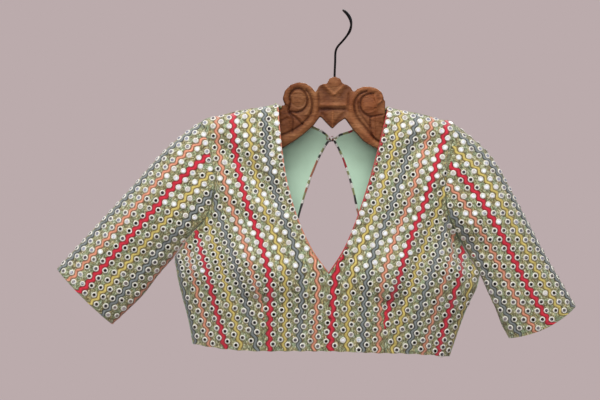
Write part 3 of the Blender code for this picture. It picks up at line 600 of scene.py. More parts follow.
def sleeve_surface(front, back, sections):
    """Outer surface of a sleeve: rows from the armhole to the cuff. The columns start and
    end at the underarm seam, over the front to the top fold and down behind."""
    start = UNDERARM * ROWS_A_LEVEL
    seam_front, seam_back = front[start:, 0][::-1], back[start:, 0][::-1]
    steps = np.linalg.norm(np.diff(seam_front, axis=0), axis=1)
    w = np.concatenate([[0], np.cumsum(steps)]) / steps.sum()
    last = sections[-1]
    axis = np.array([last.top[0] + last.bottom[0], 0, last.top[1] + last.bottom[1]])
    axis = axis - 2 * seam_front[0] * np.array([1, 0, 1])
    axis /= np.linalg.norm(axis)
    hump = np.maximum(0, 4 * w * (1 - w))

    def flank(section, depth, bow):
        top = np.array([section.top[0], 0, section.top[1]])
        bottom = np.array([section.bottom[0], 0, section.bottom[1]])
        line = top + (bottom - top) * w[:, None] + axis * (bow * hump)[:, None]
        line[:, 1] = depth * hump ** SLEEVE_ROUND
        return line

    fronts = [seam_front] + [flank(s, -s.front, s.bow) for s in sections]
    backs = [seam_back] + [flank(s, s.back, -s.bow) for s in sections]
    whole = np.array([np.concatenate([f[::-1], b[1:]]) for f, b in zip(fronts, backs)])
    return np.array([on_curve(whole, place) for place in np.linspace(0, len(sections), SLEEVE_ROWS)])


front_left = front_surface(LEFT_LEVELS, -1)
front_right = front_surface(RIGHT_LEVELS, 1)
back_left = back_surface(LEFT_LEVELS, -1, front_left)
back_right = back_surface(RIGHT_LEVELS, 1, front_right)
sleeve_left = sleeve_surface(front_left, back_left, LEFT_SLEEVE)
sleeve_right = sleeve_surface(front_right, back_right, RIGHT_SLEEVE)
print("body grid:", front_left.shape, "sleeve grid:", sleeve_left.shape)

# %% [markdown]
# ## Creases
# A hanging blouse has a few soft drags: from the armholes towards the bust, under the
# bust beside the darts, and deep ones in the underarms. Each is listed as a trough or a
# ridge along a bowed line, uneven in length and depth. They fade out beside the seams,
# so the panels still meet there.
# %% Crease tables
DART_TIP, DART_OPEN = -394.0, 34.0     # height of a dart's point, and the run that opens it
Crease = namedtuple("Crease", "start bend end width height")
FRONT_CREASES = (
    Crease((-194, -196), (-150, -228), (-88, -290), 15, -8.0),
    Crease((-200, -236), (-150, -282), (-80, -318), 17, 4.2),
    Crease((-204, -296), (-184, -362), (-146, -448), 20, -6.0),
    Crease((-170, -340), (-118, -384), (-54, -384), 40, 8.0),
    Crease((-150, -424), (-116, -436), (-80, -424), 12, -2.6),
    Crease((-86, -412), (-74, -450), (-74, -508), 12, -3.0),
    Crease((-160, -440), (-150, -470), (-152, -506), 10, -1.6),
    Crease((-214, -410), (-205, -450), (-200, -498), 12, -2.4),
    Crease((-116, -148), (-110, -200), (-98, -250), 9, -2.0),
    Crease((56, -160), (68, -205), (48, -262), 14, -2.6),
    Crease((156, -196), (112, -204), (70, -240), 13, -5.0),
    Crease((150, -226), (112, -262), (60, -300), 15, 2.6),
    Crease((152, -284), (116, -366), (72, -452), 18, -8.0),
    Crease((14, -330), (52, -392), (112, -372), 34, 6.5),
    Crease((158, -316), (172, -352), (194, -398), 9, -8.0),
    Crease((-194, -316), (-221, -346), (-240, -385), 7, -5.5),
    Crease((34, -420), (62, -436), (100, -428), 14, -2.8),
    Crease((6, -412), (14, -455), (14, -508), 12, -3.0),
    Crease((88, -440), (92, -470), (86, -508), 11, -2.2),
    Crease((150, -420), (146, -460), (132, -510), 11, -2.4),
    Crease((-119, -424), (-118, -460), (-117, -512), 3.2, -1.5),
    Crease((60, -426), (59, -460), (59, -514), 3.2, -1.5),
)
BACK_CREASES = (
    Crease((-194, -205), (-150, -235), (-100, -300), 16, -3.4),
    Crease((-204, -300), (-176, -352), (-150, -430), 15, -2.6),
    Crease((-128, -330), (-112, -352), (-100, -380), 34, 3.0),
    Crease((-100, -190), (-96, -240), (-100, -290), 14, 1.8),
    Crease((-70, -420), (-64, -460), (-60, -506), 12, -2.0),
    Crease((-190, -420), (-180, -455), (-176, -500), 13, -1.8),
    Crease((154, -208), (108, -236), (64, -300), 15, -3.2),
    Crease((160, -318), (140, -366), (114, -430), 14, -2.6),
    Crease((70, -330), (56, -356), (52, -384), 34, 3.0),
    Crease((58, -200), (62, -250), (56, -300), 13, 1.8),
    Crease((24, -420), (30, -460), (28, -508), 12, -2.0),
    Crease((140, -430), (132, -465), (126, -508), 13, -1.8),
    Crease((-118, -424), (-118, -460), (-117, -512), 3.2, -1.2),
    Crease((60, -426), (59, -460), (59, -514), 3.2, -1.2),
)
SLEEVE_CREASES = (
    Crease((-214, -250), (-255, -268), (-300, -312), 12, -2.0),
    Crease((-232, -232), (-300, -296), (-372, -366), 16, 2.0),
    Crease((-246, -350), (-286, -362), (-330, -416), 13, -3.0),
    Crease((-300, -350), (-340, -380), (-372, -420), 11, -1.8),
    Crease((-250, -372), (-276, -388), (-300, -418), 9, -2.4),
    Crease((176, -262), (212, -276), (250, -330), 12, -2.2),
    Crease((196, -236), (244, -306), (296, -386), 15, 2.0),
    Crease((186, -340), (214, -356), (250, -420), 12, -3.0),
    Crease((262, -350), (276, -400), (296, -446), 11, -1.8),
    Crease((204, -388), (222, -402), (240, -436), 9, -2.6),
)


# %% Pressing the creases
CREASE_POINTS = 33
END_KEPT = 0.08                # a crease begins and ends a little way into its taper


def crease_height(x, z, creases):
    """Height of the creases over points of a panel seen from the front."""
    height = np.zeros_like(x)
    along = np.linspace(0, 1, CREASE_POINTS)[:, None]
    for crease in creases:
        a, b, c = (np.array(p, float) for p in (crease.start, crease.bend, crease.end))
        bend = 2 * b - (a + c) / 2
        line = a * (1 - along) ** 2 + bend * 2 * along * (1 - along) + c * along ** 2
        gaps = np.hypot(x[..., None] - line[:, 0], z[..., None] - line[:, 1])
        nearest = gaps.argmin(-1)
        taper = np.sin(np.pi * (END_KEPT + (1 - 2 * END_KEPT) * along[nearest, 0])) ** 0.7
        height += crease.height * taper * np.exp(-(gaps.min(-1) / crease.width) ** 2)
    return height


def normals_of(grid, closed=False):
    """Unit normals of a grid of points."""
    across = np.gradient(grid, axis=1)
    if closed:
        across[:, 0] = across[:, -1] = (grid[:, 1] - grid[:, -2]) / 2
    normal = np.cross(across, np.gradient(grid, axis=0))
    return normal / np.maximum(1e-9, np.linalg.norm(normal, axis=-1))[..., None]


def fade(distance, reach):
    """0 at a seam, rising softly to 1 at a reach from it."""
    t = np.clip(distance / reach, 0, 1)
    return t * t * (3 - 2 * t)


def run_along(grid, axis):
    """Length of cloth from the first row or column of a grid."""
    steps = np.linalg.norm(np.diff(grid, axis=axis), axis=-1)
    pad = [(0, 0), (0, 0)]
    pad[axis] = (1, 0)
    return np.cumsum(np.pad(steps, pad), axis=axis)


SEAM_DIP, DIP_REACH = 0.9, 3.5
SIDE_FADE, TOP_FADE, ARMHOLE_FADE = 7, 22, 18    # creases are gone this near a seam
PUCKER, PUCKER_LENGTH, PUCKER_REACH, PUCKER_START = 0.55, 9.0, 12.0, 3
DART_GAP = 2
HEM_WAVE, HEM_REACH = 0.6, 8.0         # a hand-turned hem is never quite even
HEM_RIPPLE, HEM_DRIFT = 3.4, 47


def puckers(from_seam, along):
    """Small ripples that the stitching draws in across a seam."""
    ripple = np.sin(2 * math.pi * along / PUCKER_LENGTH + 1.7 * np.sin(along / 23.0))
    return PUCKER * ripple * fade(from_seam, PUCKER_START) * np.exp(-(from_seam / PUCKER_REACH) ** 2)


def crease_body(grid, creases, y_sign):
    """Press the creases and the dips of the sewn seams into half of the body."""
    normal = normals_of(grid)
    normal *= np.sign(normal[..., 1].mean()) * y_sign
    from_edge = run_along(grid, 1)
    up = run_along(grid, 0)
    from_top = up[-1] - up
    keep = fade(from_edge, SIDE_FADE) * fade(from_top, TOP_FADE)
    height = crease_height(grid[..., 0], grid[..., 2], creases) * keep
    height -= SEAM_DIP * np.exp(-(from_edge / DIP_REACH) ** 2)
    height -= SEAM_DIP * np.exp(-(from_top / DIP_REACH) ** 2)
    height += puckers(from_edge, up) * fade(from_top, TOP_FADE)
    from_dart = np.abs(from_edge - from_edge[:, SIDE_STEPS:SIDE_STEPS + 1])
    height += puckers(from_dart + DART_GAP, up) * fade(DART_TIP - grid[..., 2], DART_OPEN)
    grid = grid + normal * height[..., None]
    x = grid[..., 0]
    ripple = np.sin(x / HEM_RIPPLE + 2 * np.sin(x / HEM_DRIFT))
    grid[..., 2] += HEM_WAVE * ripple * np.exp(-(up / HEM_REACH) ** 2)
    fresh = normals_of(grid)
    return grid, fresh * np.sign(fresh[..., 1].mean()) * y_sign


def crease_sleeve(grid, creases):
    """Press the creases and the armhole's dip into a sleeve."""
    normal = normals_of(grid, True)
    centre = grid[:, :-1].mean(1, keepdims=True)
    normal *= np.sign(((grid - centre) * normal).sum())
    from_top = run_along(grid, 0)
    height = crease_height(grid[..., 0], grid[..., 2], creases) * fade(from_top, ARMHOLE_FADE)
    height += puckers(from_top, run_along(grid, 1))
    height *= np.abs(normal[..., 1])
    height -= SEAM_DIP * np.exp(-(from_top / DIP_REACH) ** 2)
    grid = grid + normal * height[..., None]
    fresh = normals_of(grid, True)
    return grid, fresh * np.sign(((grid - centre) * fresh).sum())


creased = {
    "front_left": crease_body(front_left, FRONT_CREASES, -1),
    "front_right": crease_body(front_right, FRONT_CREASES, -1),
    "back_left": crease_body(back_left, BACK_CREASES, 1),
    "back_right": crease_body(back_right, BACK_CREASES, 1),
    "sleeve_left": crease_sleeve(sleeve_left, SLEEVE_CREASES),
    "sleeve_right": crease_sleeve(sleeve_right, SLEEVE_CREASES),
}
print("creases:", len(FRONT_CREASES) + len(BACK_CREASES) + len(SLEEVE_CREASES))

# %% [markdown]
# ## The run of the stripes
# The bands are stitched along the straight grain, 24 mm apart. The front hangs so that
# its grain slants from the shoulders towards the middle, stands upright below the bust,
# and is taken in by a dart on each side. Three bands in each half, beside the neck,
# inside the dart and outside it, are measured at a few heights. All others keep their
# distance. The result is a map of the cloth in millimetres: u across the bands, v along.
# %% Grain of the body
PERIOD = 24.0             # from one band to the next
Grain = namedtuple("Grain", "z neck inner outer")
LEFT_GRAIN = (
    Grain(-142, -95, -165, -261), Grain(-172, -93, -164, -260), Grain(-209, -89, -163, -259),
    Grain(-246, -84, -154, -250), Grain(-283, -75, -146, -242), Grain(-320, -62, -132, -228),
    Grain(-357, -47, -118, -216), Grain(-394, -37, -110, -204), Grain(-431, -39, -108, -194),
    Grain(-468, -42, -110, -185), Grain(-505, -45, -110, -175),
)
RIGHT_GRAIN = (
    Grain(-142, 66, 138, 210), Grain(-172, 60, 131, 203), Grain(-209, 51, 120, 192),
    Grain(-246, 41, 109, 181), Grain(-283, 29, 99, 171), Grain(-320, 15, 83, 155),
    Grain(-357, -1, 69, 142), Grain(-394, -14, 58, 131), Grain(-431, -15, 54, 117),
    Grain(-468, -18, 53, 108), Grain(-505, -19, 52, 95),
)
LEFT_BANDS = (-1, -4, -8)      # numbers of the three measured bands of each half
RIGHT_BANDS = (0, 3, 6)
GRAIN_ZERO = -470.0            # height from which the length of cloth is counted
GRAIN_ROW = 6 * ROWS_A_LEVEL
GRAIN_HEIGHTS = (-540, -120, 211)      # from, to and how many
EVENED = 12                    # steps to each side over which a band's run is evened out


def grain_lines(table):
    """The measured bands at close heights, with their slant and their length."""
    z = np.linspace(*GRAIN_HEIGHTS)
    heights = np.array([row.z for row in table], float)[::-1]
    lines = {}
    for name in ("neck", "inner", "outer"):
        x = np.interp(z, heights, np.array([getattr(row, name) for row in table], float)[::-1])
        x = np.convolve(np.pad(x, EVENED, mode="edge"), np.ones(2 * EVENED + 1), "valid")
        x /= 2 * EVENED + 1
        slope = np.gradient(x, z)
        length = np.cumsum(np.hypot(1, slope)) * (z[1] - z[0])
        lines[name] = (x, slope / np.hypot(1, slope), np.interp(GRAIN_ZERO, z, length) - length)
    return z, lines


def across_body(x, height, lines, numbers, opened):
    """u over half of the body, for the side part and for the middle part."""
    z, rows = lines
    neck, inner, outer = (np.interp(height, z, rows[n][0]) for n in ("neck", "inner", "outer"))
    near_u, inner_u, far_u = (PERIOD * n for n in numbers)
    share = (x - inner) / (outer - inner)
    middle = inner_u + (far_u - inner_u) * share
    beyond = far_u + (x - outer)
    towards = inner_u + (near_u - inner_u) * (x - inner) / (neck - inner)
    past = near_u + (x - neck)
    u = np.where(share > 1, beyond, np.where(share > 0, middle, towards))
    u = np.where((x - neck) * np.sign(far_u - near_u) < 0, past, u)
    side_u = np.where(share > 1, beyond, middle * (1 - opened) + beyond * opened)
    middle_u = np.where(share > 0, middle * (1 - opened) + (inner_u + x - inner) * opened, u)
    return side_u, middle_u


def along_body(x, height, lines, opened):
    """v over half of the body, for the side part and for the middle part."""
    z, rows = lines
    inner, slant, length = (np.interp(height, z, row) for row in rows["inner"])
    v = length - (x - inner) * slant
    outer, far_slant, far_length = (np.interp(height, z, row) for row in rows["outer"])
    tip_x, tip_slant, tip_v = (np.interp(DART_TIP, z, row) for row in rows["inner"])
    far_tip_x, _, far_tip_v = (np.interp(DART_TIP, z, row) for row in rows["outer"])
    shift = tip_v - (far_tip_x - tip_x) * tip_slant - far_tip_v
    far_v = far_length + shift - (x - outer) * far_slant
    return v * (1 - opened) + far_v * opened, v


def hidden_length(grid, axis):
    """How much longer each step of the cloth is than it looks from the front."""
    steps = np.diff(grid, axis=axis)
    return np.linalg.norm(steps, axis=-1) - np.hypot(steps[..., 0], steps[..., 2])


def body_map(grid, table, numbers, sign):
    """u and v over half of the body, for the side part and for the middle part."""
    lines = grain_lines(table)
    x, height = grid[..., 0], grid[..., 2]
    opened = fade(DART_TIP - height, DART_OPEN)
    side_u, middle_u = across_body(x, height, lines, numbers, opened)
    side_v, middle_v = along_body(x, height, lines, opened)
    spare = np.cumsum(hidden_length(grid, 1)[:, :SIDE_STEPS][:, ::-1], axis=1)[:, ::-1]
    side_u[:, :SIDE_STEPS] += sign * spare
    rise = np.vstack([np.zeros((1, grid.shape[1])), np.cumsum(hidden_length(grid, 0), axis=0)])
    rise -= rise[GRAIN_ROW]
    side = np.stack([side_u, side_v - rise], -1)[:, :SIDE_STEPS + 1]
    middle = np.stack([middle_u, middle_v - rise], -1)[:, SIDE_STEPS:]
    return side, middle


# %% Grain of the sleeves
FOLD_BAND = 2                  # the grey band runs along the top fold of each sleeve
FOLD_STEPS, FAR_OFF = 14, 500.0
OFFSET_REACH = 0.6             # share of the sleeve over which the offset changes


def grid_faces(rows, wide):
    """The squares of a grid of points."""
    return [(k, k + 1, k + 1 + wide, k + wide) for i in range(rows - 1)
            for k in range(i * wide, (i + 1) * wide - 1)]


def length_over(skin, start, aside, view, end):
    """Length of cloth straight across a sleeve, from the top fold at start to the depth at
    the end. The steps are short near the fold, where the cloth turns most."""
    before, total = np.zeros(2), 0.0
    for step in range(1, FOLD_STEPS + 1):
        far = (step / FOLD_STEPS) ** 2
        spot = start + aside * far
        spot[1] = -view * FAR_OFF
        hit = skin.ray_cast(Vector(spot), Vector((0, view, 0)))[0]
        depth = end if step == FOLD_STEPS else hit.y if hit else before[1]
        here = np.array([np.linalg.norm(aside) * far, depth])
        total += math.hypot(*(here - before))
        before = here
    return total


def sleeve_map(grid, sections, sign, offset):
    """u and v over a sleeve, whose bands run beside its top fold. u is the length of cloth
    from the fold, plus an offset at the armhole and at the cuff. It has only one part."""
    top = grid.shape[1] // 2
    run = np.array([sections[-1].top[0], 0, sections[-1].top[1]]) - grid[0, top] * [1, 0, 1]
    run /= np.linalg.norm(run)
    down = np.cross(run, [0, 1, 0])
    down *= np.sign((grid[-1, 0] - grid[-1, top]) @ down)
    along, deep = grid @ run, grid @ down
    fold = np.interp(along, along[:, top], deep[:, top])
    length = np.zeros_like(along)
    for columns, view in ((range(top), 1.0), (range(top + 1, grid.shape[1]), -1.0)):
        half = grid[:, :top + 1] if view > 0 else grid[:, top:]
        skin = BVHTree.FromPolygons([Vector(p) for p in half.reshape(-1, 3)],
                                    grid_faces(*half.shape[:2]))
        for i in range(len(grid)):
            for j in columns:
                start = run * along[i, j] + down * fold[i, j]
                aside = down * (deep[i, j] - fold[i, j])
                length[i, j] = view * length_over(skin, start, aside, view, grid[i, j, 1])
    far = (along - along.min()) / (along.max() - along.min())
    offset = offset[1] + (offset[0] - offset[1]) * (1 - fade(far, OFFSET_REACH))
    return (np.stack([PERIOD * FOLD_BAND + sign * length + offset, along], -1),)


Panel = namedtuple("Panel", "grid normals parts")
panels = {}
for name, (grid, normals) in creased.items():
    if name == "sleeve_left":
        parts = sleeve_map(grid, LEFT_SLEEVE, 1, (-9.0, -9.0))
    elif name == "sleeve_right":
        parts = sleeve_map(grid, RIGHT_SLEEVE, -1, (17.0, 7.5))
    elif name.endswith("left"):
        parts = body_map(grid, LEFT_GRAIN, LEFT_BANDS, -1)
    else:
        parts = body_map(grid, RIGHT_GRAIN, RIGHT_BANDS, 1)
    panels[name] = Panel(grid, normals, parts)
print("cloth maps:", ", ".join(panels))

# %% [markdown]
# ## Cloth panels
# Each panel starts as a grid from the Add menu with as many squares as the surface has,
# and its points are then moved onto the surface. Its map is laid on, and Solidify gives
# the cloth its thickness inwards, so the outer face stays where it was measured. The
# inner face takes the lining. Beside the seams the wall is pressed thin, as stitching
# does.
# %% Panel meshes
CLOTH_WALL = 1.6
MAP_UNIT = 10.0                # millimetres of cloth in one unit of the piece's map
PRESSED, PRESSED_START = 5, 0.6        # how far the wall is pressed thin beside a seam
PRESSED_SHARE = 0.15           # thickness left at the seam, as a share of the wall
SHARP_FROM = 50                # degrees between faces from which an edge stays sharp


def deselect():
    """Nothing selected, in object mode."""
    bpy.ops.object.select_all(action="DESELECT")


def select_only(*things):
    """These objects selected, the first one active."""
    deselect()
    for thing in things:
        thing.select_set(True)
    bpy.context.view_layer.objects.active = things[0]


def edit_all(piece, operator, **settings):
    """Run an edit-mode operator on all of a piece."""
    select_only(piece)
    bpy.ops.object.mode_set(mode="EDIT")
    bpy.ops.mesh.select_all(action="SELECT")
    operator(**settings)
    bpy.ops.object.mode_set(mode="OBJECT")


def apply_all(piece):
    """Apply a piece's modifiers in order."""
    select_only(piece)
    for modifier in list(piece.modifiers):
        bpy.ops.object.modifier_apply(modifier=modifier.name)


def grid_piece(name, panel, thin):
    """A panel: a grid moved onto its surface, with its map and its seam weights."""
    rows, columns = panel.grid.shape[:2]
    deselect()
    bpy.ops.mesh.primitive_grid_add(x_subdivisions=columns - 1, y_subdivisions=rows - 1, size=2)
    piece = bpy.context.object
    piece.name = piece.data.name = name
    mesh = piece.data
    flat = np.empty(len(mesh.vertices) * 3)
    mesh.vertices.foreach_get("co", flat)
    flat = flat.reshape(-1, 3)
    column = np.rint((flat[:, 0] + 1) / 2 * (columns - 1)).astype(int)
    row = np.rint((flat[:, 1] + 1) / 2 * (rows - 1)).astype(int)
    mesh.vertices.foreach_set("co", (panel.grid[row, column] * MM).ravel())
    mesh.update()
    middle = mesh.polygons[(rows // 2) * (columns - 1) + columns // 3]
    if np.dot(middle.normal, panel.normals[rows // 2, columns // 3]) < 0:
        edit_all(piece, bpy.ops.mesh.flip_normals)
    lay_map(mesh, panel.parts, row, column)
    wall = piece.vertex_groups.new(name="wall")
    for vert, weight in enumerate(thin[row, column]):
        wall.add([vert], float(weight), "REPLACE")
    return piece


def lay_map(mesh, parts, row, column):
    """Lay the flat cloth's map on a panel, its side part up to the dart and then its middle."""
    cloth_uv = mesh.uv_layers.active.data
    for face in mesh.polygons:
        first = min(column[v] for v in face.vertices)
        part = 0 if len(parts) == 1 or first < SIDE_STEPS else 1
        begin = 0 if part == 0 else SIDE_STEPS
        for loop in face.loop_indices:
            vert = mesh.loops[loop].vertex_index
            cloth_uv[loop].uv = parts[part][row[vert], column[vert] - begin] / MAP_UNIT


def finish_panel(piece, outside, inside, wall=CLOTH_WALL):
    """Thickness inwards, the two finishes, and smooth shading."""
    piece.data.materials.append(outside)
    piece.data.materials.append(inside)
    solid = piece.modifiers.new("wall", "SOLIDIFY")
    solid.thickness = wall * MM
    solid.offset = -1
    solid.vertex_group = "wall"
    solid.thickness_vertex_group = PRESSED_SHARE
    solid.material_offset = 1
    apply_all(piece)
    piece.vertex_groups.clear()
    bpy.ops.object.shade_smooth_by_angle(angle=math.radians(SHARP_FROM))
    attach(piece, "root")
    print(piece.name, "faces:", len(piece.data.polygons))
    return piece


def merge_doubles(piece, distance=0.02):
    """Sew coinciding points of one piece together."""
    edit_all(piece, bpy.ops.mesh.remove_doubles, threshold=distance * MM)


def body_thin(grid):
    """Weight of the wall over half of the body: thin at the side seam and shoulder."""
    up = run_along(grid, 0)
    beside = fade(run_along(grid, 1) + PRESSED_START, PRESSED)
    return beside * fade(up[-1] - up + PRESSED_START, PRESSED)


def body_piece(name, panel):
    """Half of the front or back as one panel."""
    return grid_piece(name, panel, body_thin(panel.grid))


def sleeve_piece(name, panel):
    """A sleeve: the grid's two long sides are sewn into a tube."""
    thin = fade(run_along(panel.grid, 0) + PRESSED_START, PRESSED)
    piece = grid_piece(name, panel, thin)
    merge_doubles(piece)
    return piece


front = body_piece("front_cloth", panels["front_left"])
other = body_piece("front_other", panels["front_right"])
select_only(front, other)
bpy.ops.object.join()
merge_doubles(front, 2 * SEAM_BACK + 0.05)
finish_panel(front, ground, lining_cloth)
back_l = finish_panel(body_piece("back_cloth_left", panels["back_left"]), ground, lining_cloth)
back_r = finish_panel(body_piece("back_cloth_right", panels["back_right"]), ground, lining_cloth)
sleeve_l = finish_panel(sleeve_piece("sleeve_cloth_left", panels["sleeve_left"]),
                        ground, lining_cloth)
sleeve_r = finish_panel(sleeve_piece("sleeve_cloth_right", panels["sleeve_right"]),
                        ground, lining_cloth)

# %% [markdown]
# ## Finding a place on the hanging cloth
# The bands and mirrors are laid out on flat cloth, and have to be found again on the
# hanging panel. Each panel's map is kept as a flat search tree. A flat place is looked up
# there, and the triangle that it falls in says where it lies on the real surface.
# %% Flat maps
REACH = 0.5                    # a place this far off a panel's map still counts as on it


class Patch:
    """A stretch of cloth that can be asked where a flat place lies when it hangs."""

    def __init__(self, points, normals, cloth):
        rows, columns = points.shape[:2]
        self.points = [Vector(p) for p in points.reshape(-1, 3)]
        self.normals = [Vector(n) for n in normals.reshape(-1, 3)]
        self.flat = [Vector((u, v, 0)) for u, v in cloth.reshape(-1, 2)]
        self.low, self.high = cloth.reshape(-1, 2).min(0), cloth.reshape(-1, 2).max(0)
        self.faces = []
        for i in range(rows - 1):
            for j in range(columns - 1):
                a = i * columns + j
                self.faces += [(a, a + 1, a + columns + 1), (a, a + columns + 1, a + columns)]
        self.tree = BVHTree.FromPolygons(self.flat, self.faces)

    def at(self, u, v):
        """Point and normal at a flat place, or None off the cloth."""
        if not (self.low[0] - 1 < u < self.high[0] + 1 and self.low[1] - 1 < v < self.high[1] + 1):
            return None
        spot, _, index, gap = self.tree.find_nearest((u, v, 0))
        if spot is None or gap > REACH:
            return None
        face = self.faces[index]
        flat = [self.flat[k] for k in face]
        point = barycentric_transform(spot, *flat, *[self.points[k] for k in face])
        normal = barycentric_transform(spot, *flat, *[self.normals[k] for k in face])
        return point, normal.normalized()


def patches_of(panel):
    """The side part and the middle part of a panel, or its only part."""
    grid, normals, parts = panel
    if len(parts) == 1:
        return [Patch(grid, normals, parts[0])]
    cut = SIDE_STEPS
    return [Patch(grid[:, :cut + 1], normals[:, :cut + 1], parts[0]),
            Patch(grid[:, cut:], normals[:, cut:], parts[1])]


cloth = {"front": patches_of(panels["front_left"]) + patches_of(panels["front_right"])}
for name in ("back_left", "back_right", "sleeve_left", "sleeve_right"):
    cloth[name] = patches_of(panels[name])


def find(patches, u, v):
    """Point and normal of the first patch that a flat place lies on."""
    for patch in patches:
        hit = patch.at(u, v)
        if hit:
            return hit
    return None


def extent(patches):
    """Lowest and highest u and v of a panel."""
    return (np.min([p.low for p in patches], axis=0), np.max([p.high for p in patches], axis=0))


for panel, patches in cloth.items():
    low, high = extent(patches)
    print("cut of", panel, "across and along, mm:", *np.round(high - low))

# %% [markdown]
# ## Couched bands
# A band is a thick line of satin stitch that winds between the mirrors. It is a strip
# with a rounded top, laid point by point on the cloth, so it stands up as the real
# stitching does, and it stops where the panel stops.
# %% Bands
PITCH = 15.0                   # from mirror to mirror, and the length of one wave
SWING = 2.1                    # how far a band winds to each side
BAND_STEPS = 8                 # points in one wave
BAND_HALF = (5.2, 4.4, 4.2, 4.1)       # half of a band's width, in the order of BANDS
BAND_RISE = (-0.35, 0.45, 0.7, 0.45, -0.35)    # its height above the cloth, side to side


def turned_in(patches):
    """Whether u and v turn the wrong way round as seen from outside the panel."""
    low, high = patches[0].low, patches[0].high
    u, v = (low + high) / 2
    here, aside, ahead = (find(patches, *spot) for spot in ((u, v), (u + 3, v), (u, v + 3)))
    return (aside[0] - here[0]).cross(ahead[0] - here[0]).dot(here[1]) < 0


def build_bands(name, patches):
    """All bands of one panel, joined, with one finish for each colour."""
    low, high = extent(patches)
    verts, faces, uvs, finishes = [], [], [], []
    clockwise = turned_in(patches)
    for number in range(math.ceil(low[0] / PERIOD), math.floor(high[0] / PERIOD) + 1):
        kind = number % len(BANDS)
        half = BAND_HALF[kind]
        before = None
        for step in range(math.floor(low[1] / PITCH * BAND_STEPS),
                          math.ceil(high[1] / PITCH * BAND_STEPS) + 1):
            v = step * PITCH / BAND_STEPS
            middle = number * PERIOD - SWING * math.cos(2 * math.pi * v / PITCH)
            row = []
            for k, rise in enumerate(BAND_RISE):
                hit = find(patches, middle + half * (k / 2 - 1), v)
                if hit:
                    row.append(len(verts))
                    verts.append((hit[0] + hit[1] * rise) * MM)
                    uvs.append((k / 4, v / MAP_UNIT))
                else:
                    row.append(None)
            if before:
                for k in range(len(row) - 1):
                    corners = (before[k], before[k + 1], row[k + 1], row[k])
                    if None not in corners:
                        faces.append(corners[::-1] if clockwise else corners)
                        finishes.append(kind)
            before = row
    return joined_mesh(name, verts, faces, uvs, finishes, band_finishes)


def joined_mesh(name, verts, faces, uvs, finishes, materials):
    """One mesh from points, faces, a map value for each point and a finish for each face."""
    mesh = bpy.data.meshes.new(name)
    mesh.from_pydata([tuple(v) for v in verts], [], faces)
    layer = mesh.uv_layers.new(name="cloth")
    index = np.empty(len(mesh.loops), dtype=int)
    mesh.loops.foreach_get("vertex_index", index)
    layer.data.foreach_set("uv", np.array(uvs, float)[index].ravel())
    for material in materials:
        mesh.materials.append(material)
    mesh.polygons.foreach_set("material_index", np.array(finishes, dtype=np.int32))
    piece = bpy.data.objects.new(name, mesh)
    bpy.context.scene.collection.objects.link(piece)
    edit_all(piece, bpy.ops.mesh.delete_loose)
    mesh.shade_smooth()
    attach(piece, "root")
    return piece


for panel, patches in cloth.items():
    build_bands("bands_" + panel, patches)

# %% [markdown]
# ## Mirrors
# Each mirror is a small disc held by a raised ring of buttonhole stitch. One is modelled
# from circles: the ring grows by extruding a circle inwards over its crest, and the disc
# is a filled circle inside it. Copies then go to every crossing of a staggered lattice on
# each panel, each disc tipped a little its own way, because no two sit alike on cloth.
# %% One mirror
RING_OUTER, RING_SHOULDER, RING_CREST, RING_INNER = 4.4, 4.25, 3.5, 2.35
DISC_RADIUS, DISC_RISE = 2.6, 0.6
RING_SIDES = 12


def model_mirror():
    """Points, faces, map and finishes of one mirror, in millimetres, standing along +Z."""
    deselect()
    bpy.ops.mesh.primitive_circle_add(vertices=RING_SIDES, radius=RING_OUTER, fill_type="NOTHING",
                                      location=(0, 0, -0.6))
    ring = bpy.context.object
    bpy.ops.object.mode_set(mode="EDIT")
    bpy.ops.mesh.select_all(action="SELECT")
    for radius, step, rise in ((RING_SHOULDER, RING_OUTER, 1.1),
                               (RING_CREST, RING_SHOULDER, 0.5),
                               (RING_INNER, RING_CREST, -0.35)):
        bpy.ops.mesh.extrude_region_move(TRANSFORM_OT_translate={"value": (0, 0, rise)})
        bpy.ops.transform.resize(value=(radius / step, radius / step, 1))
    bpy.ops.mesh.select_all(action="SELECT")
    bpy.ops.mesh.normals_make_consistent(inside=False)
    bpy.ops.object.mode_set(mode="OBJECT")
    if ring.data.polygons[-1].normal.z < 0:
        ring.data.flip_normals()
    deselect()
    bpy.ops.mesh.primitive_circle_add(vertices=RING_SIDES, radius=DISC_RADIUS, fill_type="NGON",
                                      location=(0, 0, DISC_RISE))
    disc = bpy.context.object
    shapes = []
    for thing in (ring, disc):
        points = np.array([thing.matrix_world @ v.co for v in thing.data.vertices])
        shapes.append((points, [tuple(face.vertices) for face in thing.data.polygons]))
        bpy.data.objects.remove(thing, do_unlink=True)
    return shapes


(ring_points, ring_faces), (disc_points, disc_faces) = model_mirror()
turns = np.arctan2(ring_points[:, 1], ring_points[:, 0]) / (2 * math.pi) * RING_SIDES
ring_map = np.stack([turns * 2, np.hypot(ring_points[:, 0], ring_points[:, 1]) / MAP_UNIT], 1)
print("faces of one mirror:", len(ring_faces) + len(disc_faces))

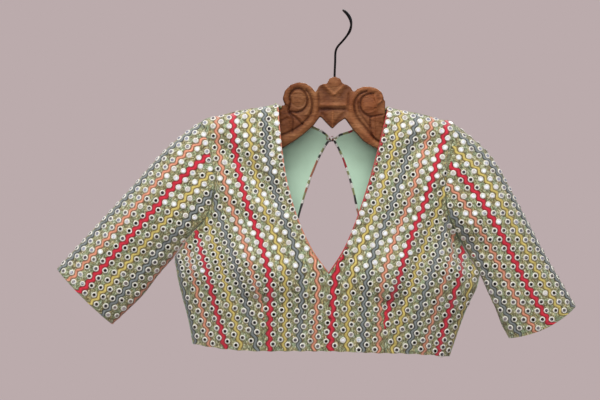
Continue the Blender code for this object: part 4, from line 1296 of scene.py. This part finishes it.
# %% How the mirrors lean
# Where the cloth leans back its mirrors face the window and flash white, and where it
# hangs over they turn dark. Each stroke gives a width and how far the discs under it
# turn: above 0 towards the window, below 0 towards the dark floor.
FRONT_LEANS = (
    Crease((-206, -160), (-168, -166), (-130, -192), 26, 1.5),
    Crease((-101, -146), (-97, -180), (-91, -215), 6, 1.4),
    Crease((-119, -140), (-117, -175), (-112, -206), 9, -2.4),
    Crease((-113, -220), (-110, -231), (-108, -244), 9, 1.6),
    Crease((-212, -212), (-152, -240), (-88, -304), 19, -1.4),
    Crease((-186, -254), (-166, -266), (-150, -284), 11, 0.8),
    Crease((-156, -310), (-112, -346), (-48, -376), 17, 1.2),
    Crease((-232, -384), (-214, -388), (-198, -394), 8, 1.6),
    Crease((-19, -394), (-18, -401), (-17, -408), 4, 1.6),
    Crease((-39, -480), (-37, -492), (-36, -504), 6, 1.2),
    Crease((-14, -488), (10, -490), (36, -492), 5, 1.5),
    Crease((66, -150), (63, -168), (58, -186), 6, 0.9),
    Crease((80, -154), (106, -168), (98, -192), 16, 1.4),
    Crease((116, -160), (130, -168), (142, -176), 10, 1.2),
    Crease((52, -196), (38, -240), (22, -280), 15, -1.4),
    Crease((104, -204), (86, -240), (70, -294), 17, -1.5),
    Crease((152, -188), (138, -228), (120, -292), 9, 1.4),
    Crease((30, -284), (25, -296), (18, -312), 6, 1.6),
    Crease((87, -262), (87, -268), (87, -275), 5, 2.4),
    Crease((128, -292), (102, -316), (66, -338), 11, 1.4),
    Crease((50, -306), (44, -322), (26, -342), 7, 1.3),
    Crease((110, -350), (78, -357), (48, -352), 12, 1.4),
    Crease((64, -372), (78, -383), (98, -395), 7, 1.2),
    Crease((96, -336), (112, -334), (126, -329), 6, -2.0),
    Crease((150, -270), (124, -366), (80, -450), 20, -1.0),
    Crease((-206, -300), (-190, -370), (-160, -460), 18, -0.7),
    Crease((-215, -450), (0, -440), (170, -460), 50, -0.7),
)
BACK_LEANS = (
    Crease((-200, -166), (-150, -156), (-100, -160), 20, 1.2),
    Crease((-176, -290), (-140, -330), (-90, -366), 20, 1.0),
    Crease((-196, -210), (-150, -240), (-100, -280), 20, -1.0),
    Crease((66, -156), (110, -164), (150, -170), 20, 1.2),
    Crease((140, -300), (100, -340), (60, -372), 20, 1.0),
    Crease((150, -214), (110, -240), (70, -280), 20, -1.0),
    Crease((-215, -450), (0, -440), (170, -460), 50, -0.7),
)
SLEEVE_LEANS = (
    Crease((-226, -196), (-238, -256), (-220, -320), 19, 1.3),
    Crease((-262, -300), (-310, -350), (-360, -410), 20, -0.8),
    Crease((-250, -360), (-300, -410), (-340, -450), 22, -0.6),
    Crease((184, -214), (218, -250), (240, -306), 24, 0.9),
    Crease((182, -304), (193, -322), (204, -350), 12, 1.6),
    Crease((256, -300), (284, -350), (316, -400), 12, 0.5),
    Crease((236, -350), (262, -404), (290, -462), 18, -0.8),
    Crease((214, -384), (232, -420), (256, -480), 18, -0.6),
)
LEANS = {"front": FRONT_LEANS, "back_left": BACK_LEANS, "back_right": BACK_LEANS,
         "sleeve_left": SLEEVE_LEANS, "sleeve_right": SLEEVE_LEANS}
NECK_SIDES = {"front": 0, "back_left": 1, "back_right": -1, "sleeve_left": 1, "sleeve_right": 1}

# %% Mirrors on a panel
EDGE_ROOM, NECK_ROOM = 3.4, 1.1    # a mirror's middle keeps this far from a panel's edge
SIZES, TURNS = (0.95, 1.04), (0, 0.5)
TILT = 0.055                       # usual lean of a disc its own way, in radians
MOST_LEAN = 0.32                   # as far as a disc tips in its ring, in radians
STEEP, LEVEL_ENOUGH = 0.3, 0.6     # limits for discs on cloth that faces sideways
LIT, DULL = 14, -7                 # the rise, in degrees, of a disc that flashes or stays dark
NECK_MIDDLE = -19.0
rng = np.random.default_rng(11)


def lattice(patches):
    """The flat places of the mirrors: columns between the bands, every other one shifted."""
    low, high = extent(patches)
    for column in range(math.floor(low[0] / PERIOD * 2) - 1, math.ceil(high[0] / PERIOD * 2) + 1):
        u = (column + 0.5) / 2 * PERIOD
        shift = 0.5 * PITCH * (column % 2)
        for row in range(math.floor(low[1] / PITCH) - 1, math.ceil(high[1] / PITCH) + 1):
            yield u, row * PITCH + shift


def axes_at(around, up):
    """Directions across and along the cloth and out of it."""
    along = np.array(around[2][0] - around[3][0])
    along -= up * along.dot(up)
    along /= np.linalg.norm(along)
    return np.stack([np.cross(along, up), along, up])


def lean_at(place, axes, leaning):
    """How far a disc rises across and along the cloth, to face the window or the floor."""
    facing = axes[2][1]
    zone = np.clip(crease_height(place[:1], place[2:], leaning)[0], -1, 1)
    rise = math.radians(LIT if zone > 0 else DULL)
    wanted = axes @ [0, math.copysign(math.cos(rise), facing), math.sin(rise)]
    back = -abs(zone) * wanted[:2] / max(wanted[2], STEEP) * fade(abs(facing), LEVEL_ENOUGH)
    return back * min(1, MOST_LEAN / max(1e-6, np.hypot(*back)))


def build_mirrors(panel, patches):
    """Every mirror of one panel, joined. A neck side of 1 is where u grows."""
    leaning, neck_side = LEANS[panel], NECK_SIDES[panel]
    verts, faces, uvs, finishes = [], [], [], []
    shapes = ((ring_points, ring_faces, ring_map), (disc_points, disc_faces, disc_points[:, :2]))
    for u, v in lattice(patches):
        own = rng.normal(0, TILT, 2)
        size, turn = rng.uniform(*SIZES), rng.uniform(*TURNS)
        hit = find(patches, u, v)
        if not hit:
            continue
        side = neck_side or (1 if hit[0].x < NECK_MIDDLE else -1)
        rooms = [NECK_ROOM if step == side and panel == "front" else EDGE_ROOM
                 for step in (1, -1)]
        around = [find(patches, u + a, v + b) for a, b in
                  ((rooms[0], 0), (-rooms[1], 0), (0, EDGE_ROOM), (0, -EDGE_ROOM))]
        if None in around:
            continue
        place = np.array(hit[0])
        axes = axes_at(around, np.array(hit[1]))
        back = lean_at(place, axes, leaning)
        cos, sin = math.cos(turn), math.sin(turn)
        for kind, (points, shape, layout) in enumerate(shapes):
            local = points * size
            local[:, :2] = local[:, :2] @ np.array([[cos, sin], [-sin, cos]])
            local[:, 2] += local[:, :2] @ (back * (kind + 1) / 2 + own * kind)
            start = len(verts)
            verts.extend((place + local @ axes) * MM)
            uvs.extend(layout)
            faces.extend(tuple(start + k for k in face) for face in shape)
            finishes.extend([kind] * len(shape))
    piece = joined_mesh("mirrors_" + panel, verts, faces, uvs, finishes, (thread, glass))
    print(piece.name, "mirrors:", len(verts) // (len(ring_points) + len(disc_points)))
    return piece


mirrors = {panel: build_mirrors(panel, patches) for panel, patches in cloth.items()}

# %% [markdown]
# ## Lining of the back
# A lighter mint cotton backs each half of the back. It shows through the V neck, so it is
# a sheet of its own just inside the cloth, with a few soft wrinkles of its own and a
# little slack above the keyhole.
# %% Lining
LINING_WALL, LINING_IN = 0.6, 2.5
LINING_TOP, LINING_SIDE = ROWS_A_LEVEL, 5     # rows and columns that the lining stops short
LINING_RISE, LINING_FADE = 0.4, 14
LINING_CREASES = (
    Crease((-160, -200), (-120, -206), (-60, -200), 9, -1.4),
    Crease((-150, -225), (-110, -232), (-50, -220), 12, 1.2),
    Crease((-120, -250), (-96, -262), (-70, -300), 12, -1.6),
    Crease((-60, -205), (-52, -240), (-66, -290), 8, 0.9),
    Crease((120, -205), (84, -214), (20, -206), 9, -1.4),
    Crease((110, -235), (70, -236), (16, -226), 12, 1.3),
    Crease((84, -250), (56, -268), (40, -312), 12, -1.6),
    Crease((10, -205), (16, -240), (30, -290), 8, 0.9),
)


def lining_piece(name, panel):
    """The lining behind one half of the back."""
    grid, normals, parts = panel
    top, side = len(grid) - LINING_TOP, LINING_SIDE
    soft = crease_height(grid[..., 0], grid[..., 2], LINING_CREASES)
    from_middle = run_along(grid[:, ::-1], 1)[:, ::-1]
    soft = np.minimum(soft, LINING_RISE) * fade(from_middle, LINING_FADE)
    inner = (grid + normals * (soft - LINING_IN)[..., None])[:top, side:]
    whole = np.concatenate([parts[0][:top, side:-1], parts[1][:top]], 1)
    piece = grid_piece(name, Panel(inner, -normals[:top, side:], (whole,)),
                       np.ones(inner.shape[:2]))
    return finish_panel(piece, lining_cloth, lining_cloth, LINING_WALL)


lining_l = lining_piece("lining_left", panels["back_left"])
lining_r = lining_piece("lining_right", panels["back_right"])

# %% [markdown]
# ## Corded and rolled edges
# The V neck ends in a thin cord covered with thread. The back neckline and the keyhole
# are bound with a strip of the embroidered cloth, rolled over the raw edge. Both are
# tubes that follow the edge of the finished panel, so they stay on it wherever the cloth
# goes. The binding is uneven, as hand rolling leaves it.
# %% Tubes along an edge
def tube(name, route, radius, sides, material, swell=None):
    """A tube along points in millimetres, closed at its ends, mapped around and along."""
    route = np.array(route, float)
    run = np.gradient(route, axis=0)
    run /= np.linalg.norm(run, axis=1)[:, None]
    length = np.concatenate([[0], np.cumsum(np.linalg.norm(np.diff(route, axis=0), axis=1))])
    side = np.cross(run[0], [0, 1, 0.2])
    verts, uvs, faces = [], [], []
    for i, (point, ahead) in enumerate(zip(route, run)):
        side = side - ahead * side.dot(ahead)
        side /= np.linalg.norm(side)
        other = np.cross(ahead, side)
        size = radius * (swell[i] if swell is not None else 1.0)
        for k in range(sides + 1):
            turn = 2 * math.pi * k / sides
            verts.append((point + (side * math.cos(turn) + other * math.sin(turn)) * size) * MM)
            uvs.append((k / sides * 2 * math.pi * radius / MAP_UNIT, length[i] / MAP_UNIT))
    wide = sides + 1
    for i in range(len(route) - 1):
        for k in range(sides):
            faces.append((i * wide + k, i * wide + k + 1, (i + 1) * wide + k + 1,
                          (i + 1) * wide + k))
    faces.append(tuple(range(sides))[::-1])
    last = (len(route) - 1) * wide
    faces.append(tuple(last + k for k in range(sides)))
    piece = joined_mesh(name, verts, faces, uvs, [0] * len(faces), (material,))
    merge_doubles(piece, 0.01)
    edit_all(piece, bpy.ops.mesh.normals_make_consistent, inside=False)
    return piece


def edge_route(panel, start, sign, aside):
    """Points along a panel's free edge, a little outside it and sunk to mid wall."""
    edge, normals = panel.grid[start:, -1], panel.normals[start:, -1]
    out = np.cross(np.gradient(edge, axis=0), normals)
    out /= np.linalg.norm(out, axis=1)[:, None]
    out *= -sign * np.sign(out[len(out) // 2, 0])
    return edge + out * aside - normals * CLOTH_WALL / 2


PIPING_RADIUS, PIPING_ASIDE, PIPING_SIDES = 1.05, 0.7, 10
PIPING_THINNEST = 0.6          # the red cord thins towards the shoulder
BINDING_RADIUS, BINDING_ASIDE, BINDING_SIDES = 2.0, 1.3, 12
ROLL_SWELL, ROLL_STEP, ROLL_CHANCE = 0.12, 1.3, 0.05
NECK_START, HOLE_START = UNDERARM * ROWS_A_LEVEL, KEYHOLE_END * ROWS_A_LEVEL


def piping(name, panel, sign, material, thinnest):
    """The corded edge of one side of the neck, from the point of the V to the shoulder."""
    route = edge_route(panel, NECK_START, sign, PIPING_ASIDE)
    return tube(name, route, PIPING_RADIUS, PIPING_SIDES, material,
                np.linspace(1.0, thinnest, len(route)))


def binding(name, panel, sign, material):
    """The rolled binding, thicker and thinner along its length."""
    route = edge_route(panel, HOLE_START, sign, BINDING_ASIDE)
    swell = 1 + ROLL_SWELL * np.sin(np.arange(len(route)) * ROLL_STEP)
    swell += rng.normal(0, ROLL_CHANCE, len(route))
    return tube(name, route, BINDING_RADIUS, BINDING_SIDES, material, swell)


piping_l = piping("piping_left", panels["front_left"], -1, salmon_cord, 1.0)
piping_r = piping("piping_right", panels["front_right"], 1, red_cord, PIPING_THINNEST)
binding_l = binding("binding_left", panels["back_left"], -1, left_binding)
binding_r = binding("binding_right", panels["back_right"], 1, right_binding)
print("edge pieces:", piping_l.name, piping_r.name, binding_l.name, binding_r.name)

# %% [markdown]
# ## Neck hook
# One small bent-wire hook and its eye close the top of the back. Each is a short wire
# with a loop that is sewn under the corner of the binding, and a few cut thread ends
# stand out around it.
# %% Hook, eye and thread ends
corner_l, corner_r = (table[CLOSURE].back_edge for table in (LEFT_LEVELS, RIGHT_LEVELS))
closure = np.array([(corner_l[0] + corner_r[0]) / 2, corner_l[2] - CLOTH_WALL / 2, corner_l[1]])
WIRE_RADIUS, THREAD_RADIUS, ROLLED_RADIUS = 0.45, 0.42, 1.7
WIRE_SIDES = 8
THREAD_ENDS = 34


def wire_piece(name, points, radius, material):
    """A short wire or thread through points given from the closure."""
    spots = [closure + np.array(p, float) for p in points]
    return tube(name, spots, radius, WIRE_SIDES, material)


hook_wire = wire_piece("neck_hook_wire", [
    (-4.4, 0, -1.6), (-5.2, 0, -0.4), (-4.4, 0, 0.6), (-3.0, 0, 0.2), (-1.5, -0.3, 0.0),
    (0.6, -0.8, 0.0), (1.9, -1.4, 0.0), (2.3, -2.0, 0.0), (1.6, -2.4, 0.0), (0.2, -2.3, 0.0)],
    WIRE_RADIUS, iron)
eye_wire = wire_piece("neck_eye_wire", [
    (4.8, 0, 2.0), (3.6, -0.2, 1.8), (2.2, -0.6, 1.5), (1.0, -1.3, 1.0), (0.8, -1.6, 0.0),
    (1.0, -1.3, -1.0), (2.2, -0.6, -1.5), (3.6, -0.2, -1.8), (4.8, 0, -2.0)],
    WIRE_RADIUS, iron)
tails = []
for side, material in ((-1, left_binding), (1, right_binding)):
    tails.append(wire_piece("rolled_end", [(side * 6.2, 0, 0.6), (side * 4.4, -0.3, 1.4),
                                           (side * 2.6, -0.8, 1.0), (side * 1.3, -1.0, 0.2)],
                            ROLLED_RADIUS, material))
for index in range(THREAD_ENDS):
    side = -1 if index % 2 else 1
    root = np.array([side * rng.uniform(0.3, 7), rng.uniform(-2.6, -0.6), rng.uniform(-2, 4)])
    reach = np.array([rng.uniform(-3.5, 3.5), rng.uniform(-1.6, 0.2), rng.uniform(-4, 5)])
    bend = rng.normal(0, 0.7, 3)
    tails.append(wire_piece("thread_end", [root, root + reach * 0.4 + bend, root + reach],
                            THREAD_RADIUS, (thread, iron, thread, iron, red_cord)[index % 5]))
select_only(*tails)
bpy.ops.object.join()
thread_ends = bpy.context.object
thread_ends.name = thread_ends.data.name = "thread_ends"

# %% [markdown]
# ## Carved hanger
# The hanger is one board, carved on both faces: a scroll on each side that sweeps down
# into the arm, leaf cuts under the scrolls, and a middle block with three lobes, a
# raised bar and a pointed drop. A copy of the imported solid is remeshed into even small
# squares, so that its faces can be carved. Each stroke of the gouge is a line with a
# width and a depth, and the points near it move in or out, as they would under the tool.
# %% Remeshed board
VOXEL = 1.15
Block = namedtuple("Block", "left right top bottom front back turn")
LEAF_BLOCKS = (
    Block(-92, -74, -141, -166, -9, -2, 0), Block(-95, -75, -149, -197, -9, 8.5, 0),
    Block(44, 61, -146.5, -170, -9, -2, 0), Block(43, 61, -155, -203, -9, 8.5, 0),
    Block(48, 60.5, -127.5, -152, -9, 8.5, 0), Block(48, 63, -133.5, -158, -9, 8.5, 0),
    Block(-100.8, -66.8, -191.4, -200.4, -9, 8.5, -32.3),
    Block(14, 62, -186.5, -195.5, -9, 8.5, 38.5),
)


def leaf_block(block):
    """Solid wood between a scroll and its arm, where the leaf is cut."""
    deselect()
    middle = [(block.left + block.right) / 2, (block.front + block.back) / 2,
              (block.top + block.bottom) / 2]
    bpy.ops.mesh.primitive_cube_add(size=MM, location=[value * MM for value in middle],
                                    rotation=(0, math.radians(block.turn), 0),
                                    scale=(block.right - block.left, block.back - block.front,
                                           block.top - block.bottom))
    return bpy.context.object


def board_copy():
    """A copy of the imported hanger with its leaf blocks, remeshed into one piece."""
    node = bpy.data.objects["hanger_wood"]
    piece = bpy.data.objects.new("carved_hanger", node.data.copy())
    bpy.context.scene.collection.objects.link(piece)
    merge_doubles(piece)
    select_only(piece, *[leaf_block(block) for block in LEAF_BLOCKS])
    bpy.ops.object.join()
    even = piece.modifiers.new("even", "REMESH")
    even.mode = "VOXEL"
    even.voxel_size = VOXEL * MM
    soft = piece.modifiers.new("soft", "SMOOTH")
    soft.factor = 0.5
    soft.iterations = 9
    apply_all(piece)
    piece.data.materials.clear()
    piece.data.materials.append(wood)
    return piece


hanger = board_copy()
print("hanger faces:", len(hanger.data.polygons))

# %% Carving strokes
Stroke = namedtuple("Stroke", "name points width height")
STROKES = (
    Stroke("left disc groove", ((-82, -149), (-79, -139), (-79.5, -127), (-73, -118),
                                (-64, -117), (-56.5, -123.5), (-53.5, -134), (-57, -145),
                                (-67, -151.5), (-81, -151)), 1.5, -1.9),
    Stroke("left rim crest", ((-85, -138), (-86, -126), (-78, -114.5), (-67, -110.5),
                              (-54, -113), (-45, -122), (-41, -134), (-41, -148), (-46, -163),
                              (-58, -175), (-74, -187), (-96, -197), (-120, -202)), 3.4, 1.1),
    Stroke("left rim cut", ((-55, -119), (-49.5, -127), (-46.5, -139), (-48, -152),
                            (-55, -163), (-68, -174), (-89, -184.5), (-120, -192)), 1.5, -1.7),
    Stroke("left inner crest", ((-53.5, -124), (-49.5, -134), (-50, -146), (-56, -156)),
           1.2, 0.9),
    Stroke("left leaf edge", ((-81, -153), (-76, -160), (-75, -168), (-76, -181)), 1.2, -1.3),
    Stroke("left leaf vein", ((-79, -153), (-71, -160), (-61, -169.5)), 1.1, -1.5),
    Stroke("left leaf crest", ((-75, -153), (-66, -159), (-57, -167)), 1.5, 0.8),
    Stroke("left arm vein", ((-84, -160), (-100, -168), (-130, -176)), 1.8, -1.0),
    Stroke("right disc groove", ((45.4, -123.7), (37, -124.8), (29.4, -129), (26, -137),
                                 (27, -147), (32, -154), (40, -158), (50, -157.5),
                                 (59, -155.5)), 1.5, -1.9),
    Stroke("right disc fold", ((45.4, -126), (48.6, -131), (50.5, -138.5), (57, -135)),
           1.3, 1.3),
    Stroke("right rim crest", ((58, -131), (55, -121.5), (45, -117), (33, -116), (22, -121),
                               (14, -132), (11, -146), (13, -160), (22, -174), (36, -188),
                               (52, -200), (76, -207), (104, -210)), 3.4, 1.1),
    Stroke("right rim cut", ((35, -120.5), (25, -124.5), (18.5, -133), (16.6, -144),
                             (20.9, -159), (34.7, -176), (47.5, -191), (64, -199)), 1.5, -1.7),
    Stroke("right inner cut", ((22.5, -136), (24, -148), (30, -160), (40, -173.5)), 1.2, -1.2),
    Stroke("right leaf vein", ((40.5, -160), (40.7, -176), (45, -189), (54, -196)), 1.2, -1.4),
    Stroke("right leaf crest", ((42, -161), (51, -158), (60, -157)), 1.4, 1.1),
    Stroke("right arm vein", ((56, -168), (84, -178), (116, -186)), 1.8, -1.0),
    Stroke("left lobe crest", ((-29, -110), (-21, -118), (-14, -125)), 1.6, 1.2),
    Stroke("right lobe crest", ((3, -109), (-8, -120), (-13, -125)), 1.6, 1.2),
    Stroke("left lobe hollow", ((-33, -115), (-28, -120), (-23, -127)), 4.5, -1.0),
    Stroke("right lobe hollow", ((7, -115), (1, -121), (-3, -127)), 4.5, -1.0),
    Stroke("top lobe dome", ((-17, -106), (-12, -109), (-8, -106)), 5, 0.8),
    Stroke("bar", ((-33, -140.8), (-15, -140.8), (3, -140.8)), 2.2, 1.5),
    Stroke("bar cut", ((-33, -147.3), (-15, -147.3), (3, -147.3)), 2.3, -1.9),
    Stroke("left block cut", ((-37, -124), (-36.5, -138), (-36, -150)), 1.5, -1.0),
    Stroke("right block cut", ((8, -124), (7.5, -138), (7, -150)), 1.5, -1.0),
    Stroke("drop crease", ((-15.8, -151), (-15.8, -162), (-15.8, -175)), 1.6, 1.1),
    Stroke("drop left", ((-31, -153), (-25, -162), (-18, -172)), 3.2, -0.9),
    Stroke("drop right", ((1, -153), (-5, -161), (-13, -171)), 3.2, -0.9),
)

# %% Carving
Disc = namedtuple("Disc", "x z radius rise")
SCROLL_DISCS = (Disc(-67.7, -129.5, 11.7, 0.9), Disc(40.1, -139.5, 14.5, 2.0))
PACKED_DISCS = ((-67, -134), (38, -140))
PACKED_DISC_RADIUS, PACKED_DISC_RISE = 11.5, 2.0
PACKED_DISC_SOFT = 1.2
ARM_STEPS = ((-78.5, -1), (46.5, 1))
ARM_STEP_RISE, ARM_STEP_RUN = 1.4, 16.0
TOOL_MARKS = 0.15
# The carve attribute paints shade into the cuts, darkest at this depth, and highlights onto the
# ridges.
DEEPEST_MARKED = 2.0           # a cut this deep is drawn as dark as can be
SIDEWAYS, FACE_GAIN = 0.3125, 1.6      # the board's edges face sideways and aren't carved


def smooth_stroke(points, steps=14):
    """A smooth line through a stroke's points."""
    points = np.array(points, float)
    line = []
    for index in range(len(points) - 1):
        before = points[max(index - 1, 0)]
        here, after = points[index], points[index + 1]
        beyond = points[min(index + 2, len(points) - 1)]
        for t in np.arange(steps) / steps:
            line.append(0.5 * (2 * here + (after - before) * t
                               + (2 * before - 5 * here + 4 * after - beyond) * t**2
                               + (3 * here - before - 3 * after + beyond) * t**3))
    return np.array(line + [points[-1]])


def carve(piece):
    """Move the points of both faces in and out under the strokes."""
    mesh = piece.data
    points = np.empty(len(mesh.vertices) * 3)
    mesh.vertices.foreach_get("co", points)
    points = points.reshape(-1, 3) / MM
    normals = np.array([v.normal for v in mesh.vertices])
    facing = np.clip((np.abs(normals[:, 1]) - SIDEWAYS) * FACE_GAIN, 0, 1)
    x, z = points[:, 0], points[:, 2]
    height = np.zeros(len(points))
    for stroke in STROKES:
        line = smooth_stroke(stroke.points)
        gap = np.full(len(points), np.inf)
        for spot in line:
            gap = np.minimum(gap, np.hypot(x - spot[0], z - spot[1]))
        height += stroke.height * np.exp(-(gap / stroke.width) ** 2)
    for disc in SCROLL_DISCS:
        gap = np.hypot(x - disc.x, z - disc.z)
        height += disc.rise * np.clip(1 - (gap / disc.radius) ** 2, 0, 1) ** 0.7
    chatter = np.sin(x * 0.9 + 2.1 * np.sin(z * 0.31)) * np.sin(z * 0.8 + np.sin(x * 0.23))
    height += TOOL_MARKS * chatter
    move = height.copy()
    for disc_x, disc_z in PACKED_DISCS:
        gap = np.hypot(x - disc_x, z - disc_z)
        past = gap - PACKED_DISC_RADIUS + PACKED_DISC_SOFT
        move -= PACKED_DISC_RISE * (1 - fade(past, 2 * PACKED_DISC_SOFT))
    for step_x, side in ARM_STEPS:
        beyond = (x - step_x) * side
        move += ARM_STEP_RISE * (beyond > 0) * (1 - fade(beyond, ARM_STEP_RUN))
    points[:, 1] += np.sign(points[:, 1]) * move * facing
    mesh.vertices.foreach_set("co", (points * MM).ravel())
    # Carve depth stored for the wood's colour: painted shade in the cuts, painted highlight on the
    # ridges.
    mark = mesh.attributes.new("carve", "FLOAT", "POINT")
    shown = 0.5 + height * facing / (2 * DEEPEST_MARKED)
    mark.data.foreach_set("value", np.clip(shown, 0, 1))
    mesh.update()
    return height


carved = carve(hanger)
hanger.data.shade_smooth()
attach(hanger, "root")
print("deepest cut and highest ridge, mm:", round(carved.min(), 1), round(carved.max(), 1))

# %% [markdown]
# ## Iron hook
# The hook is one round bar, bent cold, and thinned to its tip. It is a tube along the
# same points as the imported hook, which lie on one smooth curve.
# %% Hook
HOOK_ROUTE = ((-12.6, 0, -116), (-12.6, 0, -96), (-11.8, 0, -76), (-11.2, -0.5, -61),
              (-8.0, -4, -53), (-1, -11, -45.5), (6, -17.5, -37), (10.5, -21.5, -27.5),
              (11.8, -22, -19), (10.3, -19.5, -11), (6.2, -13.5, -4), (2.2, -6.5, 0.4),
              (0.6, 0, 1.8), (2.6, 7, 0.4), (7.2, 14, -4), (11.4, 20, -11),
              (13.0, 22.3, -19), (11.8, 21.8, -27), (9.0, 19.5, -33))
HOOK_RADIUS, HOOK_SIDES = 1.65, 14
TIP_SHARE, TIP_POINTS = 0.35, 16       # the tip's share of the radius, and the points it takes
hook_line = smooth_stroke(HOOK_ROUTE, 8)
from_tip = len(hook_line) - 1 - np.arange(len(hook_line))
taper = np.minimum(1.0, TIP_SHARE + (1 - TIP_SHARE) * from_tip / TIP_POINTS)
hook = tube("iron_hook", hook_line, HOOK_RADIUS, HOOK_SIDES, iron, taper)

# %% [markdown]
# ## Floor
# A pale floor lies well below the hem, out of the front view, so that other views show
# the blouse hanging in a room.
# %% Floor
FLOOR_DROP, FLOOR_RADIUS, FLOOR_SIDES = 1.15, 1.3, 96
deselect()
bpy.ops.mesh.primitive_circle_add(vertices=FLOOR_SIDES, radius=FLOOR_RADIUS, fill_type="NGON",
                                  location=(-0.06, 0, -FLOOR_DROP))
floor = bpy.context.object
floor.name = "floor"
tree = finish("floor", 0.8)
specks = ramp(tree, noise(tree, seen_from(tree, "Object"), 40.0, 3.0),
              [(0.3, rgb(128, 118, 118)), (0.7, rgb(138, 128, 128))])
floor.data.materials.append(dressed(tree, specks))

# %% [markdown]
# ## What stands for what
# Each piece replaces its solid of the imported model, whose node is hidden.
# %% Hiding the replaced solids
CUTS = (
    (front, "front", (0.52, 0.42), 0.130),
    (back_l, "back_left", (0.31, 0.41), 0.067),
    (back_r, "back_right", (0.31, 0.41), 0.063),
    (sleeve_l, "sleeve_left", (0.30, 0.35), 0.075),
    (sleeve_r, "sleeve_right", (0.28, 0.37), 0.069),
)
for piece, node, flat, area in CUTS:
    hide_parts(node)
for piece, node, flat, area in ((lining_l, "back_lining_left", (0.26, 0.39), 0.061),
                                (lining_r, "back_lining_right", (0.25, 0.39), 0.057)):
    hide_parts(node)
for piece, node, slot in ((piping_l, "front_edge_left", "piping_salmon"),
                          (piping_r, "front_edge_right", "piping_red"),
                          (binding_l, "back_edge_left", "binding"),
                          (binding_r, "back_edge_right", "binding"),
                          (hook_wire, "neck_fastener", "black_iron"),
                          (hanger, "hanger_wood", "carved_wood"),
                          (hook, "hook", "black_iron")):
    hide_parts(node)
